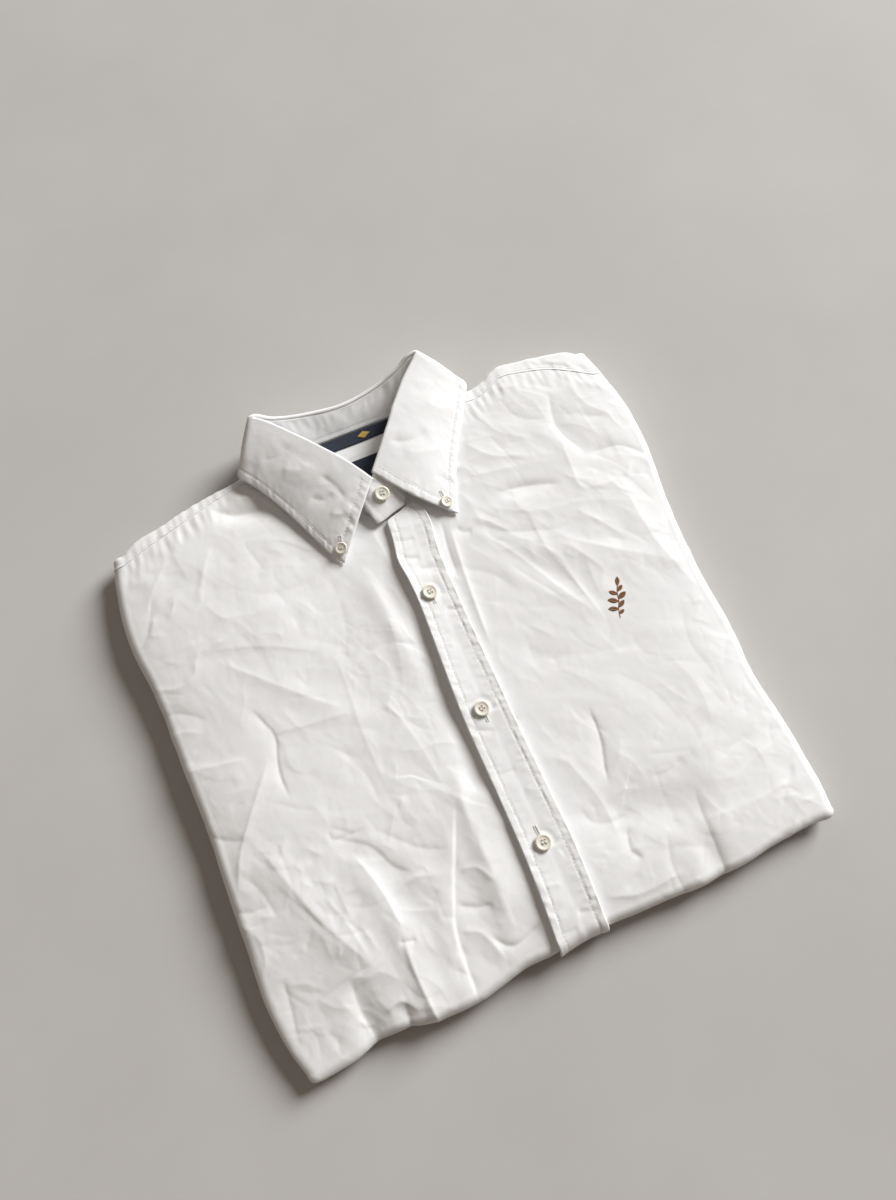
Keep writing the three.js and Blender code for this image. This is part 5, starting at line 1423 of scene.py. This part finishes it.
def button_mesh(radius):
    """The points and faces of a four-holed button that lies on its back at the origin."""
    thick, sides, inner = radius * BUTTON_THICK, BUTTON_SIDES, BUTTON_PROFILE[1:-1]
    points = [p for r, z in inner for p in ring(radius * r, thick * z, sides)]
    faces = tube_faces(len(inner), sides, capped=False)
    last, centre = (len(inner) - 1) * sides, len(points)
    points += [(0, 0, thick * BUTTON_PROFILE[0][1]), (0, 0, thick * BUTTON_PROFILE[-1][1])]
    for n in range(sides):
        m = (n + 1) % sides
        faces += [[centre, m, n], [centre + 1, last + n, last + m]]
    disc = bare_object("button", points, faces)
    points, faces = [], []
    for k in range(4):
        a = (k + 0.5) * math.pi / 2
        faces += tube_faces(2, HOLE_SIDES, len(points))
        for z in (-1.0, thick * 2):
            points += ring(radius * HOLE_RADIUS, z, HOLE_SIDES,
                           math.cos(a) * radius * HOLE_PLACE, math.sin(a) * radius * HOLE_PLACE)
    cutter = bare_object("holes", points, faces)
    cut = disc.modifiers.new("holes", "BOOLEAN")
    cut.operation, cut.object, cut.solver = "DIFFERENCE", cutter, "EXACT"
    depsgraph = bpy.context.evaluated_depsgraph_get()
    done = bpy.data.meshes.new_from_object(disc.evaluated_get(depsgraph))
    points = np.empty(len(done.vertices) * 3)
    done.vertices.foreach_get("co", points)
    faces = [list(f.vertices) for f in done.polygons]
    for thing in (disc, cutter):
        bpy.data.objects.remove(thing)
    return points.reshape(-1, 3) / MM, faces


SHAPES = {r: button_mesh(r) for r in (SHIRT_BUTTON_RADIUS, COLLAR_BUTTON_RADIUS)}
button_thread, holes, slits, sprig = Blobs(), Blobs(), Blobs(), Blobs()


def seat(surface, x, y, radius):
    """Where a button's back rests on a surface of heights, and its upward direction."""
    z = surface(x, y)
    d = radius * 0.8
    dx = (surface(x + d, y) - surface(x - d, y)) / (2 * d)
    dy = (surface(x, y + d) - surface(x, y - d)) / (2 * d)
    normal = np.array([-dx, -dy, 1.0])
    normal /= np.linalg.norm(normal)
    lift = 0.0
    for cx, cy, _ in ring(radius, 0, 12):
        lift = max(lift, surface(x + cx, y + cy) - (z + dx * cx + dy * cy))
    return np.array([x, y, z + lift + 0.4]), normal


def button(name, radius, surface, spot, toward, turn):
    """A button on a surface, with the thread drawn through its holes."""
    place, normal = seat(surface, *spot, radius)
    points, faces = SHAPES[radius]
    side = np.cross((toward, 1.0, 0.0), normal)
    side /= np.linalg.norm(side)
    ahead = np.cross(normal, side)
    c, s = math.cos(turn), math.sin(turn)
    side, ahead = side * c + ahead * s, ahead * c - side * s
    made = place + points[:, :1] * side + points[:, 1:2] * ahead + points[:, 2:] * normal
    piece = make_object(name + "_disc", made, faces, SHELL, name)
    bpy.context.view_layer.update()
    # crisp at the holes, soft over the rim
    piece.data.set_sharp_from_angle(angle=math.radians(38))
    dish = place + normal * radius * BUTTON_THICK * BUTTON_PROFILE[-1][1]
    for pair in (-1, 1):
        for strand in (-1, 0, 1):
            middle = dish + side * (pair * radius * 0.19 + strand * 0.24)
            button_thread.stitch(middle - ahead * radius * 0.20, middle + ahead * radius * 0.20,
                                 normal, 0.20, arch=0.28)


def placket_height(x, y):
    return float(placket_top(np.float64(x), np.float64(y)))


def sheet_height(point, start, stop):
    """The height of the nearest point of a sheet that is given along and across."""
    cloud = np.array([point(s, w) for s in np.arange(start, stop + 1e-9, 0.05)
                      for w in np.arange(0, 1.0001, 0.02)])

    def height(x, y):
        return float(cloud[np.argmin((cloud[:, 0] - x) ** 2 + (cloud[:, 1] - y) ** 2), 2])
    return height


def band_point(s, w):
    low, high = stand_mid(s)
    return low + (high - low) * w + UP * (math.sin(math.pi * w) + STAND_THICK / 2)


for name, turn in zip(PLACKET_BUTTONS, (0.2, 0.5, -0.1)):
    button(name, SHIRT_BUTTON_RADIUS, placket_height, PLACKET_BUTTONS[name], 0.05, turn)
button("band_button", SHIRT_BUTTON_RADIUS,
       sheet_height(band_point, LAST - 1, LAST + len(BAND_END)), BAND_BUTTON, 0.3, 0.1)
for name, start, toward in (("collar_button_right", 0, 0.25),
                            ("collar_button_left", LAST - 3, -0.1)):
    button(name, COLLAR_BUTTON_RADIUS, sheet_height(leaf_point, start, start + 3),
           COLLAR_POINT_BUTTONS[name], toward, 0.15)
button_thread.make("button_thread", THREAD, "cotton")


def buttonhole(top, up, centre, start, stop, clear):
    """Whipped threads round a slit from start to stop, but none beneath the button over it."""
    centre, start, stop = (np.asarray(v, float) for v in (centre, start, stop))
    long = np.linalg.norm(stop - start)
    along = (stop - start) / long
    across = np.array([-along[1], along[0]])
    n = int(long / 0.5)
    for k in range(n + 1):
        c = start + along * long * k / n
        if np.linalg.norm(c - centre) < clear:
            continue
        for sign in (-1, 1):
            lay(holes, top, up, c + across * sign * 0.25, c + across * sign * 1.45, (0.16, 0.06),
                0.25, sides=5)
        if k % 2 == 0 and k < n:
            a, up_a = surface_on(top, up, *c)
            b, _ = surface_on(top, up, *(c + along))
            slits.stitch(a + up_a * 0.04, b + up_a * 0.04, up_a, 0.22, sides=5)
    for c in (start, stop):
        for off in (-0.8, 0.0, 0.8):
            p = c + across * off
            if np.linalg.norm(p - centre) >= clear:
                lay(holes, top, up, p - along * 0.7, p + along * 0.7, (0.2, 0.2), 0.3, sides=5)


for (bx, by), low, high in zip(PLACKET_BUTTONS.values(), (-8.5, -9.5, -5.0), (6, 5.5, 12.0)):
    buttonhole(placket_grid, placket_up, (bx, by), (bx - 0.05 * low, by + low),
               (bx - 0.05 * high, by + high), SHIRT_BUTTON_RADIUS - 0.9)
for spot, lean, part in zip(COLLAR_POINT_BUTTONS.values(), (0.30, -0.10),
                            (slice(0, 90), slice(-90, None))):
    d = np.array((lean, 1.0)) / np.linalg.norm((lean, 1.0))
    buttonhole(leaf_grid[part], leaf_up[part], spot, spot - d * 2, spot + d * 9.5,
               COLLAR_BUTTON_RADIUS - 0.6)
holes.make("buttonhole_threads", THREAD, "cotton")
slits.make("buttonhole_slits", SLIT, "cotton")
stitching.make("seam_stitches", THREAD, "cotton")

# ---------------------------------------------------------------- chest sprig
STEM = [(-4.6, -11.5), (-2.6, -5.0), (0.6, 1.0), (2.0, 6.5), (5.0, 12.0)]
# each leaf's foot, its direction in degrees, its length and its half width
LEAVES = [((-2.6, -5.0), 158, 7.2, 1.9), ((-2.0, -4.0), 30, 6.6, 1.8), ((0.0, 0.2), 150, 7.6, 2.0),
          ((0.9, 2.0), 22, 7.2, 2.0), ((1.7, 5.4), 140, 6.2, 1.7), ((2.6, 7.4), 30, 5.8, 1.6),
          ((4.8, 11.4), 66, 6.4, 1.7), ((-3.9, -8.6), 20, 4.6, 1.4)]
stem, _ = bent(STEM, step=0.8)
for p, q in zip(stem[:-1] + SPRIG, stem[1:] + SPRIG):
    lay(sprig, left_top, left_up, p - 0.25 * (q - p), q + 0.25 * (q - p), (0.12, 0.12), 0.34)
for foot, degrees, long, half in LEAVES:
    d = np.array([math.cos(math.radians(degrees)), math.sin(math.radians(degrees))])
    e = np.array([-d[1], d[0]])
    count = int(long / 0.34)
    for k in range(count):
        f = (k + 0.5) / count
        wide = half * math.sin(math.pi * min(f * 0.94 + 0.06, 1)) ** 0.8
        c = foot + d * long * f + SPRIG
        for sign in (-1, 1):
            lay(sprig, left_top, left_up, c - d * 0.35, c + e * sign * wide + d * 0.55,
                (0.16, 0.08), 0.23, arch=0.16)
sprig.make("chest_sprig", BROWN, "cotton")

# ---------------------------------------------------------------- floor
FLOOR = 6000.0      # half its width
floor = bare_object("floor", [(-FLOOR, -FLOOR, 0), (FLOOR, -FLOOR, 0), (FLOOR, FLOOR, 0),
                              (-FLOOR, FLOOR, 0)], [(0, 1, 2, 3)])
floor.data.materials.append(floor_material())
floor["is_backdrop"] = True

low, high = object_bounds()
